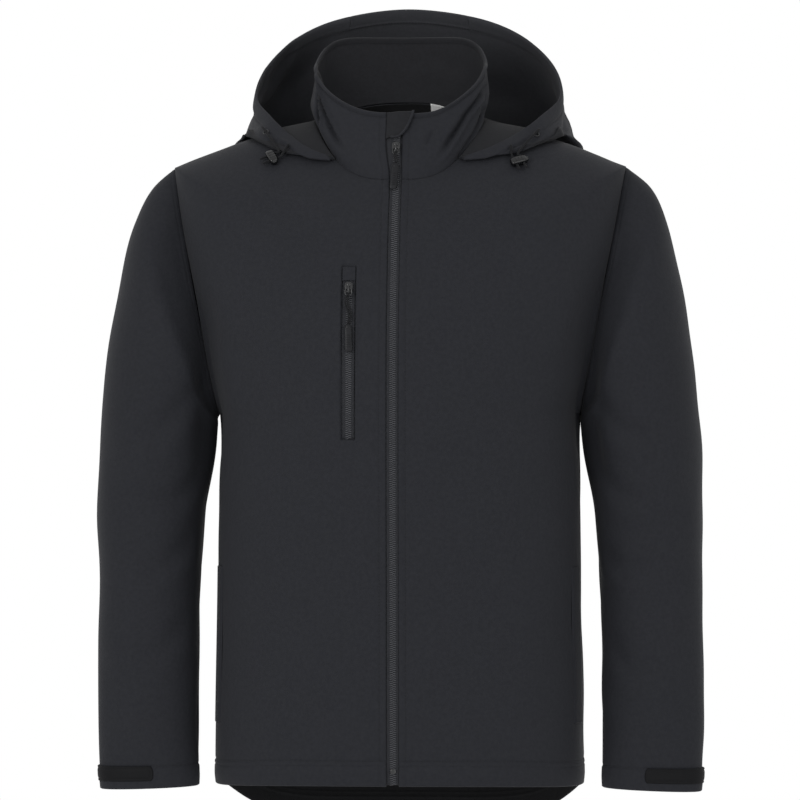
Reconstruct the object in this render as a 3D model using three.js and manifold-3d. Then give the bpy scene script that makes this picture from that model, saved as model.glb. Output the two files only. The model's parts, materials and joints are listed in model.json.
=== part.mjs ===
// Hooded softshell jacket, filled out as if worn. Millimetres, +Z up, front towards -Y.
// The origin is inside the neck, a little above the front neck seam.
// Every cloth piece is a wall: a grid of points on the jacket's form, and the same grid moved in.

import * as THREE from 'three';
import { mergeVertices } from 'three/addons/utils/BufferGeometryUtils.js';
import Module from 'manifold-3d';

const wasm = await Module();
wasm.setup();

const { abs, asin, cos, floor, max, min, sign, sin, PI } = Math;
const QUARTER = PI / 2;
const degrees = (angle) => (angle * PI) / 180;
const vec = (x, y, z) => new THREE.Vector3(x, y, z);

// Driving dimensions
const CLOTH = 1.8; // wall of the bonded cloth
const SEAM = 0.3; // gap between neighbouring pieces
const LIE = 0.3; // gap under a piece that lies on another
const HEM_ROLL = 0.8; // extra cloth on each face where an edge is turned over

const ZIP_EDGE = 6.5; // middle of the zip to the edge of a front
const ZIP_SUNK = 0.6; // face of the zip below the face of the cloth
const ZIP_THICK = 1.6;
const COLLAR_FLARE = 5; // how much further the collar's right front stands from the zip at its top

const ARMPIT = 5; // rows of the body table
const SHOULDER = 7;
const NECK = 9;

// Body form: each row is one line round the body, from the hem up to the neck seam
const BODY = [
  {
    zFront: -682, zSide: -688, zBack: -737, halfWidth: 199,
    yFront: -138, yMid: 0, yBack: 126, square: 2.5, riseFront: 2.6, riseBack: 4.3,
  },
  {
    zFront: -655, zSide: -662, zBack: -700, halfWidth: 200,
    yFront: -141, yMid: 0, yBack: 128, square: 2.5, riseFront: 2.6, riseBack: 3.2,
  },
  {
    zFront: -590, zSide: -594, zBack: -614, halfWidth: 199,
    yFront: -144, yMid: 0, yBack: 128, square: 2.5, riseFront: 2.4, riseBack: 2.6,
  },
  {
    zFront: -484, zSide: -482, zBack: -490, halfWidth: 197,
    yFront: -146, yMid: 0, yBack: 123, square: 2.5, riseFront: 2.2, riseBack: 2.2,
  },
  {
    zFront: -386, zSide: -380, zBack: -384, halfWidth: 196,
    yFront: -150, yMid: 0, yBack: 128, square: 2.5, riseFront: 2, riseBack: 2,
  },
  {
    zFront: -300, zSide: -287, zBack: -288, halfWidth: 196.5,
    yFront: -152, yMid: 0, yBack: 135, square: 2.4, riseFront: 2, riseBack: 2,
  },
  {
    zFront: -194, zSide: -153, zBack: -150, halfWidth: 221,
    yFront: -146, yMid: 2, yBack: 137, square: 2.4, riseFront: 2, riseBack: 2,
  },
  {
    zFront: -90, zSide: -18.5, zBack: -24, halfWidth: 246,
    yFront: -114, yMid: 5, yBack: 113, square: 2.2, riseFront: 2, riseBack: 2,
  },
  {
    zFront: -61, zSide: 12, zBack: 20, halfWidth: 165,
    yFront: -98, yMid: 7, yBack: 94, square: 2.1, riseFront: 2.4, riseBack: 2.2,
  },
  {
    zFront: -36, zSide: 29, zBack: 56, halfWidth: 88,
    yFront: -85, yMid: 8, yBack: 75, square: 2.1, riseFront: 3.3, riseBack: 2.5,
  },
];

const YOKE = BODY.slice(SHOULDER); // the shoulder line turns sharply from the armhole to here

// Collar form, from the neck seam up to the bound top edge. tilt leans a row back at its two sides.
const COLLAR = [
  {
    zFront: -35.6, zSide: 29.4, zBack: 56.4, halfWidth: 88,
    yFront: -85, yMid: 8, yBack: 75, square: 2.1, riseFront: 3.3, riseBack: 2.5, tilt: 0,
  },
  {
    zFront: -15, zSide: 47, zBack: 76, halfWidth: 98,
    yFront: -81, yMid: 9, yBack: 81, square: 2.1, riseFront: 3.2, riseBack: 3, tilt: 0,
  },
  {
    zFront: 6, zSide: 66, zBack: 98, halfWidth: 96.5,
    yFront: -73, yMid: 12, yBack: 86, square: 2.15, riseFront: 3.1, riseBack: 3.5, tilt: 3,
  },
  {
    zFront: 23, zSide: 81, zBack: 116, halfWidth: 94.5,
    yFront: -64, yMid: 14, yBack: 89, square: 2.2, riseFront: 2.8, riseBack: 4.5, tilt: 8,
  },
  {
    zFront: 38, zSide: 95, zBack: 130, halfWidth: 93,
    yFront: -57, yMid: 15, yBack: 90, square: 2.3, riseFront: 2.6, riseBack: 5, tilt: 14,
  },
];

// Sleeve form on the +X side: each row is one ring, from the armhole down to the cuff
const SLEEVE = [
  { xOut: 246, zOut: -18.5, xIn: 196.5, zIn: -287, yOut: 5, yIn: 0, front: 42, back: 50, square: 2 },
  { xOut: 272.5, zOut: -43, xIn: 197.8, zIn: -290, yOut: 5, yIn: 0, front: 60, back: 63, square: 2.1 },
  { xOut: 289, zOut: -80, xIn: 199, zIn: -294, yOut: 5, yIn: 0, front: 73, back: 71, square: 2.2 },
  { xOut: 302, zOut: -130, xIn: 200, zIn: -299, yOut: 5, yIn: 1, front: 75, back: 72, square: 2.2 },
  { xOut: 314.5, zOut: -200, xIn: 200.8, zIn: -306, yOut: 5, yIn: 2, front: 72, back: 71, square: 2.2 },
  { xOut: 323, zOut: -272, xIn: 202, zIn: -318, yOut: 4, yIn: 2, front: 68, back: 69, square: 2.2 },
  { xOut: 327.5, zOut: -340, xIn: 205, zIn: -342, yOut: 3, yIn: 2, front: 65, back: 66, square: 2.2 },
  { xOut: 329.5, zOut: -395, xIn: 212.5, zIn: -395, yOut: 2, yIn: 1, front: 61, back: 62, square: 2.2 },
  { xOut: 328.5, zOut: -450, xIn: 217, zIn: -450, yOut: 0, yIn: -1, front: 56, back: 58, square: 2.2 },
  { xOut: 329, zOut: -530, xIn: 220, zIn: -530, yOut: -8, yIn: -8, front: 50, back: 49, square: 2.2 },
  { xOut: 329, zOut: -610, xIn: 221, zIn: -610, yOut: -18, yIn: -18, front: 42, back: 41, square: 2.2 },
  { xOut: 327.5, zOut: -664, xIn: 220.5, zIn: -662, yOut: -25, yIn: -25, front: 36, back: 36, square: 2.2 },
  { xOut: 326, zOut: -694, xIn: 220.5, zIn: -690, yOut: -29, yIn: -29, front: 33, back: 33, square: 2.2 },
];

// Hood form on the +X side, from its front end at the collar round to the middle of the back.
// The cloth starts at the neck seam, lies on the body as far as the low point, turns out over
// the bulge and ends at the rim. lift is how far the low point stands off the body.
const HOOD = [
  {
    neckTurn: 46, lowRow: 8.88, lowTurn: 46.5, lift: 3,
    xBulge: 72, yBulge: -64, zBulge: -13, xRim: 73, yRim: -62, zRim: -9, lean: 0,
  },
  {
    neckTurn: 58, lowRow: 8.55, lowTurn: 52, lift: 4,
    xBulge: 101, yBulge: -60, zBulge: -9, xRim: 98, yRim: -53, zRim: 1, lean: 2,
  },
  {
    neckTurn: 70, lowRow: 8.2, lowTurn: 58, lift: 5,
    xBulge: 131, yBulge: -45, zBulge: 5, xRim: 121, yRim: -36, zRim: 15, lean: 5,
  },
  {
    neckTurn: 82, lowRow: 8.02, lowTurn: 72, lift: 6,
    xBulge: 160, yBulge: -17, zBulge: 17, xRim: 147, yRim: -11, zRim: 37, lean: 7,
  },
  {
    neckTurn: 96, lowRow: 7.86, lowTurn: 96, lift: 8,
    xBulge: 174, yBulge: 38, zBulge: 26, xRim: 168, yRim: 38, zRim: 63, lean: 7,
  },
  {
    neckTurn: 114, lowRow: 7.4, lowTurn: 118, lift: 10,
    xBulge: 171, yBulge: 104, zBulge: 46, xRim: 158, yRim: 92, zRim: 101, lean: 6,
  },
  {
    neckTurn: 134, lowRow: 6.9, lowTurn: 139, lift: 12,
    xBulge: 148, yBulge: 160, zBulge: 56, xRim: 124, yRim: 130, zRim: 136, lean: 4,
  },
  {
    neckTurn: 156, lowRow: 6.55, lowTurn: 160, lift: 14,
    xBulge: 84, yBulge: 192, zBulge: 60, xRim: 73, yRim: 153, zRim: 158, lean: 2,
  },
  {
    neckTurn: 180, lowRow: 6.45, lowTurn: 180, lift: 15,
    xBulge: 0, yBulge: 202, zBulge: 60, xRim: 0, yRim: 164, zRim: 168, lean: 0,
  },
];
const HOOD_NECK_ROW = 8.96; // where the hood's neck edge sits on the body form
const HOOD_NECK_LIFT = 3.8;
const HOOD_CENTRE = 0.9; // half width of the centre panel, in rows of the hood table

// Chest pocket, on the wearer's right front
const POCKET = { x: -47, halfWidth: 7.4, low: -314, high: -130, garage: 15 };

// Colours read from the photograph as plain values
const FINISH = {
  cloth: { color: 0x2c2d31, roughness: 0.85, metalness: 0 },
  zip: { color: 0x34353a, roughness: 0.6, metalness: 0 },
  metal: { color: 0x3a3b40, roughness: 0.35, metalness: 0.7 },
  rubber: { color: 0x242529, roughness: 0.5, metalness: 0 },
  cord: { color: 0x1f2023, roughness: 0.8, metalness: 0 },
  label: { color: 0xf2f2f0, roughness: 0.9, metalness: 0 },
};

const MATERIALS = Object.fromEntries(
  Object.entries(FINISH).map(([name, look]) => [name, new THREE.MeshStandardMaterial(look)]),
);

const jacket = new THREE.Group();

function add(name, finish, geometry) {
  const mesh = new THREE.Mesh(geometry, MATERIALS[finish]);
  mesh.name = name;
  jacket.add(mesh);
  return mesh;
}

const lerp = (a, b, t) => a + (b - a) * t;

function smooth(t) {
  const k = min(max(t, 0), 1);
  return k * k * (3 - 2 * k);
}

// A smooth curve through four values, from the second to the third
function curve(p0, p1, p2, p3, t) {
  const slope = p2 - p0;
  const bend = 2 * p0 - 5 * p1 + 4 * p2 - p3;
  const twist = 3 * p1 - p0 - 3 * p2 + p3;
  return p1 + 0.5 * t * (slope + t * (bend + t * twist));
}

// One row of a table at any place between its rows
function blend(table, place) {
  const last = table.length - 1;
  const i = min(max(floor(place), 0), last - 1);
  const row = {};
  for (const key of Object.keys(table[0])) {
    const p1 = table[i][key];
    const p2 = table[i + 1][key];
    const p0 = i > 0 ? table[i - 1][key] : 2 * p1 - p2;
    const p3 = i + 2 <= last ? table[i + 2][key] : 2 * p2 - p1;
    row[key] = curve(p0, p1, p2, p3, place - i);
  }
  return row;
}

// A place along several stretches, each with its own number of steps
function steps(stretches) {
  const total = stretches.reduce((sum, s) => sum + s.count, 0);
  const at = (b) => {
    let left = b * total;
    for (const s of stretches) {
      if (left <= s.count) return lerp(s.from, s.to, left / s.count);
      left -= s.count;
    }
    return stretches[stretches.length - 1].to;
  };
  return { total, at };
}

const power = (value, exponent) => sign(value) * abs(value) ** exponent;

// A point on a ring; turn runs from the middle of the front through +X to the middle of the back
const TILT_SPREAD = 5; // the higher, the nearer the sides a row's tilt stays

function ringPoint(ring, turn) {
  const isBack = cos(turn) < 0;
  const y = isBack ? ring.yBack : ring.yFront;
  const z = isBack ? ring.zBack : ring.zFront;
  const rise = isBack ? ring.riseBack : ring.riseFront;
  const leaned = 2 * (ring.tilt ?? 0) * cos(turn) * abs(sin(turn)) ** TILT_SPREAD;
  return vec(
    ring.halfWidth * power(sin(turn), 2 / ring.square),
    ring.yMid + (y - ring.yMid) * abs(cos(turn)) ** (2 / ring.square),
    z + (ring.zSide - z) * abs(sin(turn)) ** rise - leaned,
  );
}

const turnAt = (ring, x) => asin((x / ring.halfWidth) ** (ring.square / 2));

function sleevePoint(place, turn) {
  const s = blend(SLEEVE, place);
  const along = power(cos(turn), 2 / s.square);
  const across = power(sin(turn), 2 / s.square);
  const depth = across > 0 ? s.front : s.back;
  return vec(
    lerp(s.xIn, s.xOut, (1 + along) / 2),
    lerp(s.yIn, s.yOut, (1 + along) / 2) - depth * across,
    lerp(s.zIn, s.zOut, (1 + along) / 2),
  );
}

// A row of the body form. Between armpit and shoulder its edge lies on the armhole.
function bodyRing(place, isBack) {
  const ring = blend(BODY, place);
  ring.edge = QUARTER;
  if (place > SHOULDER) {
    const yoke = blend(YOKE, place - SHOULDER);
    ring.halfWidth = yoke.halfWidth;
    ring.zSide = yoke.zSide;
  }
  if (place <= ARMPIT || place >= SHOULDER) return ring;
  const up = (PI * (place - ARMPIT)) / (SHOULDER - ARMPIT);
  const hole = sleevePoint(0, isBack ? PI + up : PI - up);
  const y = isBack ? ring.yBack : ring.yFront;
  const z = isBack ? ring.zBack : ring.zFront;
  const reach = abs((hole.y - ring.yMid) / (y - ring.yMid));
  ring.halfWidth = hole.x / (1 - reach ** ring.square) ** (1 / ring.square);
  ring.edge = turnAt(ring, hole.x);
  ring.zSide = z + (hole.z - z) / sin(ring.edge) ** (isBack ? ring.riseBack : ring.riseFront);
  return ring;
}

function normalAt(point, a, b, facing, loop) {
  const step = 0.002;
  const a0 = loop ? a - step : max(a - step, 0);
  const a1 = loop ? a + step : min(a + step, 1);
  const da = point(a1, b).sub(point(a0, b));
  const db = point(a, min(b + step, 1)).sub(point(a, max(b - step, 0)));
  return da.cross(db).normalize().multiplyScalar(facing);
}

function volumeOf(vertices, triangles) {
  let six = 0;
  for (const [p, q, r] of triangles) six += vertices[p].dot(vertices[q].clone().cross(vertices[r]));
  return six / 6;
}

// A closed body from its vertices and four-sided faces, with its faces pointing out
function closedBody(vertices, quads) {
  const triangles = quads.flatMap(([p, q, r, s]) => [[p, q, r], [p, r, s]]);
  const facesOut = volumeOf(vertices, triangles) > 0;
  const geometry = new THREE.BufferGeometry();
  const numbers = vertices.flatMap((v) => v.toArray());
  geometry.setAttribute('position', new THREE.Float32BufferAttribute(numbers, 3));
  geometry.setIndex(triangles.flatMap(([p, q, r]) => (facesOut ? [p, q, r] : [p, r, q])));
  return geometry;
}

// A wall over the grid of point(a, b). outer and inner are its two faces' heights along the
// normal. At a seam the wall keeps to its own side and stops short of its neighbour by the gap.
function wall({
  across,
  along,
  point,
  facing = 1,
  outer = () => 0,
  inner = () => -CLOTH,
  loop = false,
  seams = {},
}) {
  const columns = loop ? across : across + 1;
  const faces = [[], []];
  for (let j = 0; j <= along; j++) {
    for (let i = 0; i < columns; i++) {
      const a = i / across;
      const b = j / along;
      const p = point(a, b);
      const n = normalAt(point, a, b, facing, loop);
      const here = [
        j === 0 && seams.low,
        j === along && seams.high,
        !loop && i === 0 && seams.first,
        !loop && i === across && seams.last,
      ];
      for (const seam of here.filter(Boolean)) {
        const neighbour = seam.towards(a, b);
        if (n.dot(neighbour) < 0) n.projectOnPlane(neighbour).normalize();
        p.addScaledVector(neighbour, -seam.gap);
      }
      faces[0].push(p.clone().addScaledVector(n, outer(a, b)));
      faces[1].push(p.clone().addScaledVector(n, inner(a, b)));
    }
  }
  const size = faces[0].length;
  const at = (i, j, k) => k * size + j * columns + (i % columns);
  const quads = [];
  for (let j = 0; j < along; j++) {
    for (let i = 0; i < across; i++) {
      quads.push([at(i, j, 0), at(i + 1, j, 0), at(i + 1, j + 1, 0), at(i, j + 1, 0)]);
      quads.push([at(i, j, 1), at(i, j + 1, 1), at(i + 1, j + 1, 1), at(i + 1, j, 1)]);
    }
    if (loop) continue;
    quads.push([at(0, j, 0), at(0, j + 1, 0), at(0, j + 1, 1), at(0, j, 1)]);
    quads.push([at(across, j, 0), at(across, j, 1), at(across, j + 1, 1), at(across, j + 1, 0)]);
  }
  for (let i = 0; i < across; i++) {
    quads.push([at(i, 0, 0), at(i, 0, 1), at(i + 1, 0, 1), at(i + 1, 0, 0)]);
    quads.push([at(i, along, 0), at(i + 1, along, 0), at(i + 1, along, 1), at(i, along, 1)]);
  }
  return closedBody([...faces[0], ...faces[1]], quads);
}

// The turned edge along the top of the collar and the rim of the hood
const ROLLED = 0.93;
const edgeRoll = (a, b) => (b > ROLLED ? HEM_ROLL : 0);

const seamTo = (x, y, z, gap = 0) => ({ towards: () => vec(x, y, z), gap });
const ACROSS = { first: seamTo(-1, 0, 0), last: seamTo(1, 0, 0) };

function toSolid(geometry) {
  const plain = geometry.clone();
  for (const name of Object.keys(plain.attributes)) {
    if (name !== 'position') plain.deleteAttribute(name);
  }
  const merged = mergeVertices(plain, 0.0001);
  const mesh = new wasm.Mesh({
    numProp: 3,
    vertProperties: new Float32Array(merged.attributes.position.array),
    triVerts: new Uint32Array(merged.index.array),
  });
  return new wasm.Manifold(mesh);
}

function fromSolid(solid) {
  const mesh = solid.getMesh();
  const geometry = new THREE.BufferGeometry();
  geometry.setAttribute('position', new THREE.BufferAttribute(mesh.vertProperties, 3));
  geometry.setIndex(new THREE.BufferAttribute(mesh.triVerts, 1));
  return geometry;
}

const joined = (...pieces) => fromSolid(pieces.map(toSolid).reduce((a, b) => a.add(b)));
const cut = (piece, tool) => fromSolid(toSolid(piece).subtract(toSolid(tool)));

const MIRROR = new THREE.Matrix4().makeScale(-1, 1, 1);

function mirrored(geometry) {
  const copy = geometry.clone().applyMatrix4(MIRROR);
  const order = copy.index.array;
  for (let i = 0; i < order.length; i += 3) [order[i], order[i + 1]] = [order[i + 1], order[i]];
  return copy;
}

// Body panels

const BODY_ROWS = steps([
  { from: 0, to: 1, count: 2 },
  { from: 1, to: ARMPIT, count: 8 },
  { from: ARMPIT, to: SHOULDER, count: 12 },
  { from: SHOULDER, to: NECK, count: 5 },
]);

const armholePlane = (() => {
  const top = sleevePoint(0, 0);
  const low = sleevePoint(0, PI);
  const front = sleevePoint(0, QUARTER);
  return top.clone().sub(low).cross(front.clone().sub(low)).normalize();
})();
const outward = armholePlane.x > 0 ? armholePlane : armholePlane.clone().negate();

// A panel's side edge meets the other panel, and the sleeve between armpit and shoulder
function sideSeam(y) {
  return {
    towards: (a, b) => {
      const row = BODY_ROWS.at(b);
      return row > ARMPIT && row < SHOULDER ? outward.clone() : vec(0, y, 0);
    },
    gap: SEAM / 2,
  };
}

function frontPanel() {
  const point = (a, b) => {
    const ring = bodyRing(BODY_ROWS.at(b), false);
    return ringPoint(ring, lerp(turnAt(ring, ZIP_EDGE), ring.edge, a));
  };
  const seams = { first: seamTo(-1, 0, 0), last: sideSeam(1) };
  return wall({ across: 12, along: BODY_ROWS.total, point, seams });
}

function backPanel() {
  const point = (a, b) => {
    const ring = bodyRing(BODY_ROWS.at(b), true);
    return ringPoint(ring, PI + (1 - 2 * a) * ring.edge);
  };
  const seam = sideSeam(-1);
  const mirroredSeam = { towards: (a, b) => seam.towards(a, b).applyMatrix4(MIRROR), gap: seam.gap };
  const seams = { first: mirroredSeam, last: seam };
  return wall({ across: 20, along: BODY_ROWS.total, point, facing: -1, seams });
}

// A place on the front, given its x and z; side is the sign of x
function onFront(x, z) {
  let low = 0;
  let high = NECK;
  const halvings = 30;
  const at = (row) => {
    const ring = bodyRing(row, false);
    return ringPoint(ring, turnAt(ring, abs(x)));
  };
  for (let k = 0; k < halvings; k++) {
    const middle = (low + high) / 2;
    if (at(middle).z < z) low = middle;
    else high = middle;
  }
  const found = at(low);
  return vec(x, found.y, found.z);
}

// A flat tool through the front that cuts the chest pocket's slot
function pocketTool() {
  const height = POCKET.high - POCKET.low;
  const depth = 90;
  const tool = new THREE.BoxGeometry(2 * POCKET.halfWidth, depth, height);
  return tool.translate(POCKET.x, onFront(POCKET.x, POCKET.low).y, (POCKET.high + POCKET.low) / 2);
}

const plainFront = frontPanel();
add('front_left', 'cloth', plainFront);
add('front_right', 'cloth', cut(mirrored(plainFront), pocketTool()));
add('back', 'cloth', backPanel());

// Sleeves and their cuff tabs

const SLEEVE_ROWS = steps([
  { from: 0, to: 6, count: 11 },
  { from: 6, to: 12, count: 9 },
]);

function sleeve() {
  const point = (a, b) => sleevePoint(SLEEVE_ROWS.at(b), 2 * PI * a);
  const armhole = { towards: () => outward.clone().negate(), gap: SEAM / 2 };
  return wall({ across: 24, along: SLEEVE_ROWS.total, point, loop: true, seams: { low: armhole } });
}

const TAB = {
  from: degrees(-75),
  to: degrees(97),
  lowRow: 11.68,
  highRow: 11.12,
  lift: 0.5,
  thick: 1.6,
  nose: degrees(2.5), // how far the corners of its free end stand back
};

function cuffTab() {
  const point = (a, b) => {
    const end = TAB.to - TAB.nose * abs(2 * b - 1) ** 3;
    return sleevePoint(lerp(TAB.highRow, TAB.lowRow, b), lerp(TAB.from, end, a));
  };
  const outer = () => TAB.lift + TAB.thick;
  const inner = () => TAB.lift;
  return wall({ across: 18, along: 3, point, outer, inner });
}

for (const [side, place] of [['left', (g) => g], ['right', mirrored]]) {
  add(`sleeve_${side}`, 'cloth', place(sleeve()));
  add(`cuff_tab_${side}`, 'cloth', place(cuffTab()));
}

// Collar, with its soft folds, and the guard over the top of the zip

const COLLAR_TOP = COLLAR.length - 1;
const COLLAR_FOLDS = [
  { turnLow: 60, turnHigh: 84, rowLow: 0.3, rowHigh: 2.6, depth: 4.5, width: 7 },
  { turnLow: 84, turnHigh: 101, rowLow: -0.2, rowHigh: 1.9, depth: 8, width: 11 },
  { turnLow: -52, turnHigh: -82, rowLow: 0.9, rowHigh: 3.2, depth: 3, width: 6 },
  { turnLow: -78, turnHigh: -90, rowLow: 1.2, rowHigh: 3.4, depth: 3, width: 6 },
  { turnLow: 150, turnHigh: 138, rowLow: 0.2, rowHigh: 2.2, depth: 2.5, width: 8 },
];

// How far a fold sinks the collar at a place: a trough round a slanting line
function foldDepth(turn, row) {
  let sunk = 0;
  for (const f of COLLAR_FOLDS) {
    const along = (row - f.rowLow) / (f.rowHigh - f.rowLow);
    const middle = lerp(f.turnLow, f.turnHigh, along);
    const off = ((turn * 180) / PI - middle + 540) % 360 - 180;
    const fade = smooth(along * 3) * smooth((1 - along) * 3);
    sunk += f.depth * fade * Math.exp(-((off / f.width) ** 2));
  }
  return sunk;
}

function collarPoint(turn, row) {
  const p = ringPoint(blend(COLLAR, row), turn);
  const out = vec(sin(turn), -cos(turn), 0);
  return p.addScaledVector(out, -foldDepth(turn, row));
}

function collarPiece() {
  const point = (a, b) => {
    const row = b * COLLAR_TOP;
    const ring = blend(COLLAR, row);
    const start = turnAt(ring, ZIP_EDGE);
    const end = 2 * PI - turnAt(ring, ZIP_EDGE + COLLAR_FLARE * smooth(b * 2));
    return collarPoint(lerp(start, end, a), row);
  };
  const inner = (a, b) => -CLOTH - edgeRoll(a, b);
  return wall({ across: 40, along: 8, point, outer: edgeRoll, inner, seams: ACROSS });
}

add('collar', 'cloth', collarPiece());

const GUARD = { lowRow: 2.16, start: -11.2, low: -4, high: 19, thick: 1.4, proud: 1.9 };

function chinGuard() {
  const point = (a, b) => {
    const row = lerp(GUARD.lowRow, COLLAR_TOP, b);
    const end = lerp(GUARD.low, GUARD.high, b ** (1 / 3));
    const x = lerp(GUARD.start, end, a);
    const ring = blend(COLLAR, row);
    const turn = turnAt(ring, abs(x)) * sign(x);
    return collarPoint(turn, row);
  };
  const top = (a) => LIE + GUARD.thick + HEM_ROLL * smooth(a * 2) - GUARD.proud * (1 - smooth(a * 2));
  return wall({ across: 8, along: 6, point, outer: top, inner: (a) => top(a) - GUARD.thick });
}

add('chin_guard', 'cloth', chinGuard());

// Hood: two sides and a centre panel

const HOOD_SIDES = HOOD.length - 1;

const otherSide = (row) => ({
  ...row,
  neckTurn: 360 - row.neckTurn,
  lowTurn: 360 - row.lowTurn,
  xBulge: -row.xBulge,
  xRim: -row.xRim,
});
const HOOD_ROUND = [...HOOD, ...HOOD.slice(0, HOOD_SIDES).reverse().map(otherSide)];

// A point of the body form moved off it along its normal
function offBody(row, turn, lift) {
  const at = (a, b) => {
    const place = row - 0.5 + b;
    return ringPoint(bodyRing(place, cos(a * PI) < 0), a * PI);
  };
  const a = turn / PI;
  return at(a, 0.5).addScaledVector(normalAt(at, a, 0.5, 1, true), lift);
}

function hoodPoint(a, b) {
  const s = blend(HOOD_ROUND, a * 2 * HOOD_SIDES);
  const neck = degrees(s.neckTurn);
  const low = degrees(s.lowTurn);
  const onBody = (t, lift) => offBody(lerp(HOOD_NECK_ROW, s.lowRow, t), lerp(neck, low, t), lift);
  const knots = [
    onBody(0, HOOD_NECK_LIFT),
    onBody(0.45, HOOD_NECK_LIFT),
    onBody(0.85, HOOD_NECK_LIFT + 0.15 * s.lift),
    onBody(1, s.lift),
    vec(s.xBulge, s.yBulge, s.zBulge),
    vec(s.xRim, s.yRim, s.zRim),
  ];
  const table = knots.map((k) => ({ x: k.x, y: k.y, z: k.z }));
  const p = blend(table, b * (knots.length - 1));
  return vec(p.x + s.lean * smooth(b), p.y, p.z);
}

function hoodPanel(from, to, across, seams) {
  const point = (a, b) => hoodPoint(lerp(from, to, a), b);
  const inner = (a, b) => -CLOTH - edgeRoll(a, b);
  return wall({ across, along: 12, point, outer: edgeRoll, inner, seams });
}

const seamRight = (HOOD_SIDES - HOOD_CENTRE) / (2 * HOOD_SIDES);
const seamLeft = 1 - seamRight;
const towardsRight = seamTo(-1, 0, 0, SEAM / 2);
const towardsLeft = seamTo(1, 0, 0, SEAM / 2);
const centreSeams = { first: towardsLeft, last: towardsRight };
add('hood_left', 'cloth', hoodPanel(0, seamRight, 13, { last: towardsRight }));
add('hood_centre', 'cloth', hoodPanel(seamRight, seamLeft, 4, centreSeams));
add('hood_right', 'cloth', hoodPanel(seamLeft, 1, 13, { first: towardsLeft }));

// Front zip: one strip from the hem to just under the chin guard

const ZIP_TOP_ROW = 2.02; // row of the collar
const ZIP_ROWS = steps([
  { from: 0.05, to: ARMPIT, count: 9 },
  { from: ARMPIT, to: NECK, count: 11 },
  { from: NECK, to: NECK + ZIP_TOP_ROW, count: 3 },
]);

function zipRing(place) {
  return place > NECK ? blend(COLLAR, place - NECK) : bodyRing(place, false);
}

function onZip(x, place) {
  const ring = zipRing(place);
  return ringPoint(ring, turnAt(ring, abs(x)) * sign(x));
}

function frontZip() {
  const half = ZIP_EDGE - SEAM;
  const point = (a, b) => onZip(lerp(-half, half, a), ZIP_ROWS.at(b));
  return wall({
    across: 2,
    along: ZIP_ROWS.total,
    point,
    outer: () => -ZIP_SUNK,
    inner: () => -ZIP_SUNK - ZIP_THICK,
    seams: ACROSS,
  });
}

add('front_zip', 'zip', frontZip());

// Chest pocket: the zip in its slot and the small cloth garage at its top

function pocketStrip(low, high, along, outer, inner) {
  const half = POCKET.halfWidth - SEAM;
  const point = (a, b) => onFront(POCKET.x + lerp(-half, half, a), lerp(low, high, b));
  return wall({
    across: 1,
    along,
    point,
    outer: () => outer,
    inner: () => inner,
    seams: ACROSS,
  });
}

const pocketTop = POCKET.high - SEAM;
const stripFace = -ZIP_SUNK - LIE;
const strip = pocketStrip(POCKET.low + SEAM, pocketTop, 10, stripFace, stripFace - ZIP_THICK);
add('chest_zip', 'zip', strip);
add('chest_garage', 'cloth', pocketStrip(pocketTop - POCKET.garage, pocketTop, 2, HEM_ROLL, -ZIP_SUNK));

// Side pocket welts, on the fronts just ahead of the side seams

const WELT = { low: -616, high: -452, from: degrees(70), to: degrees(79), thick: 1.4 };

function sideWelt() {
  const rowFor = (z) => {
    const rows = BODY.map((r) => r.zSide);
    const i = rows.findIndex((value) => value > z) - 1;
    return i + (z - rows[i]) / (rows[i + 1] - rows[i]);
  };
  const point = (a, b) => {
    const ring = bodyRing(lerp(rowFor(WELT.low), rowFor(WELT.high), b), false);
    return ringPoint(ring, lerp(WELT.from, WELT.to, a));
  };
  const outer = () => LIE + WELT.thick;
  return wall({ across: 4, along: 6, point, outer, inner: () => LIE });
}

add('pocket_welt_left', 'cloth', sideWelt());
add('pocket_welt_right', 'cloth', mirrored(sideWelt()));

// Sliders and their pulls. Each is made flat, with x across, y up the zip and z off the cloth.

const SLIDER = { width: 9, length: 12, thick: 2.8, round: 3 };
const BRIDGE = { width: 2.2, length: 8, height: 4.2, shoulder: 2.5, flat: 3.2 };
const HOLE = { length: 4.6, low: 0.5, high: 3.1 }; // through the bridge, for the pull's link
const PULL = {
  link: 7, // width of the wire link
  bar: 1.1,
  legs: 6,
  cord: 3.4,
  cordThick: 1.6,
  cordRound: 1,
  tab: 8.4,
  tabLength: 29,
  tabThick: 2.6,
  tabRound: 2.6,
};
const HINGE_HEIGHT = SLIDER.thick + 2; // it passes under the bridge, over the slider
const HINGE_BACK = -2.4; // the hinge lies this far below the slider's middle

function roundedShape(width, length, radius) {
  const [x, y] = [width / 2, length / 2];
  const shape = new THREE.Shape();
  shape.moveTo(-x + radius, -y);
  shape.lineTo(x - radius, -y);
  shape.absarc(x - radius, -y + radius, radius, -QUARTER, 0);
  shape.lineTo(x, y - radius);
  shape.absarc(x - radius, y - radius, radius, 0, QUARTER);
  shape.lineTo(-x + radius, y);
  shape.absarc(-x + radius, y - radius, radius, QUARTER, PI);
  shape.lineTo(-x, -y + radius);
  shape.absarc(-x + radius, -y + radius, radius, PI, PI + QUARTER);
  return shape;
}

function plate(shape, thick) {
  return new THREE.ExtrudeGeometry(shape, { depth: thick, bevelEnabled: false, curveSegments: 3 });
}

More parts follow.
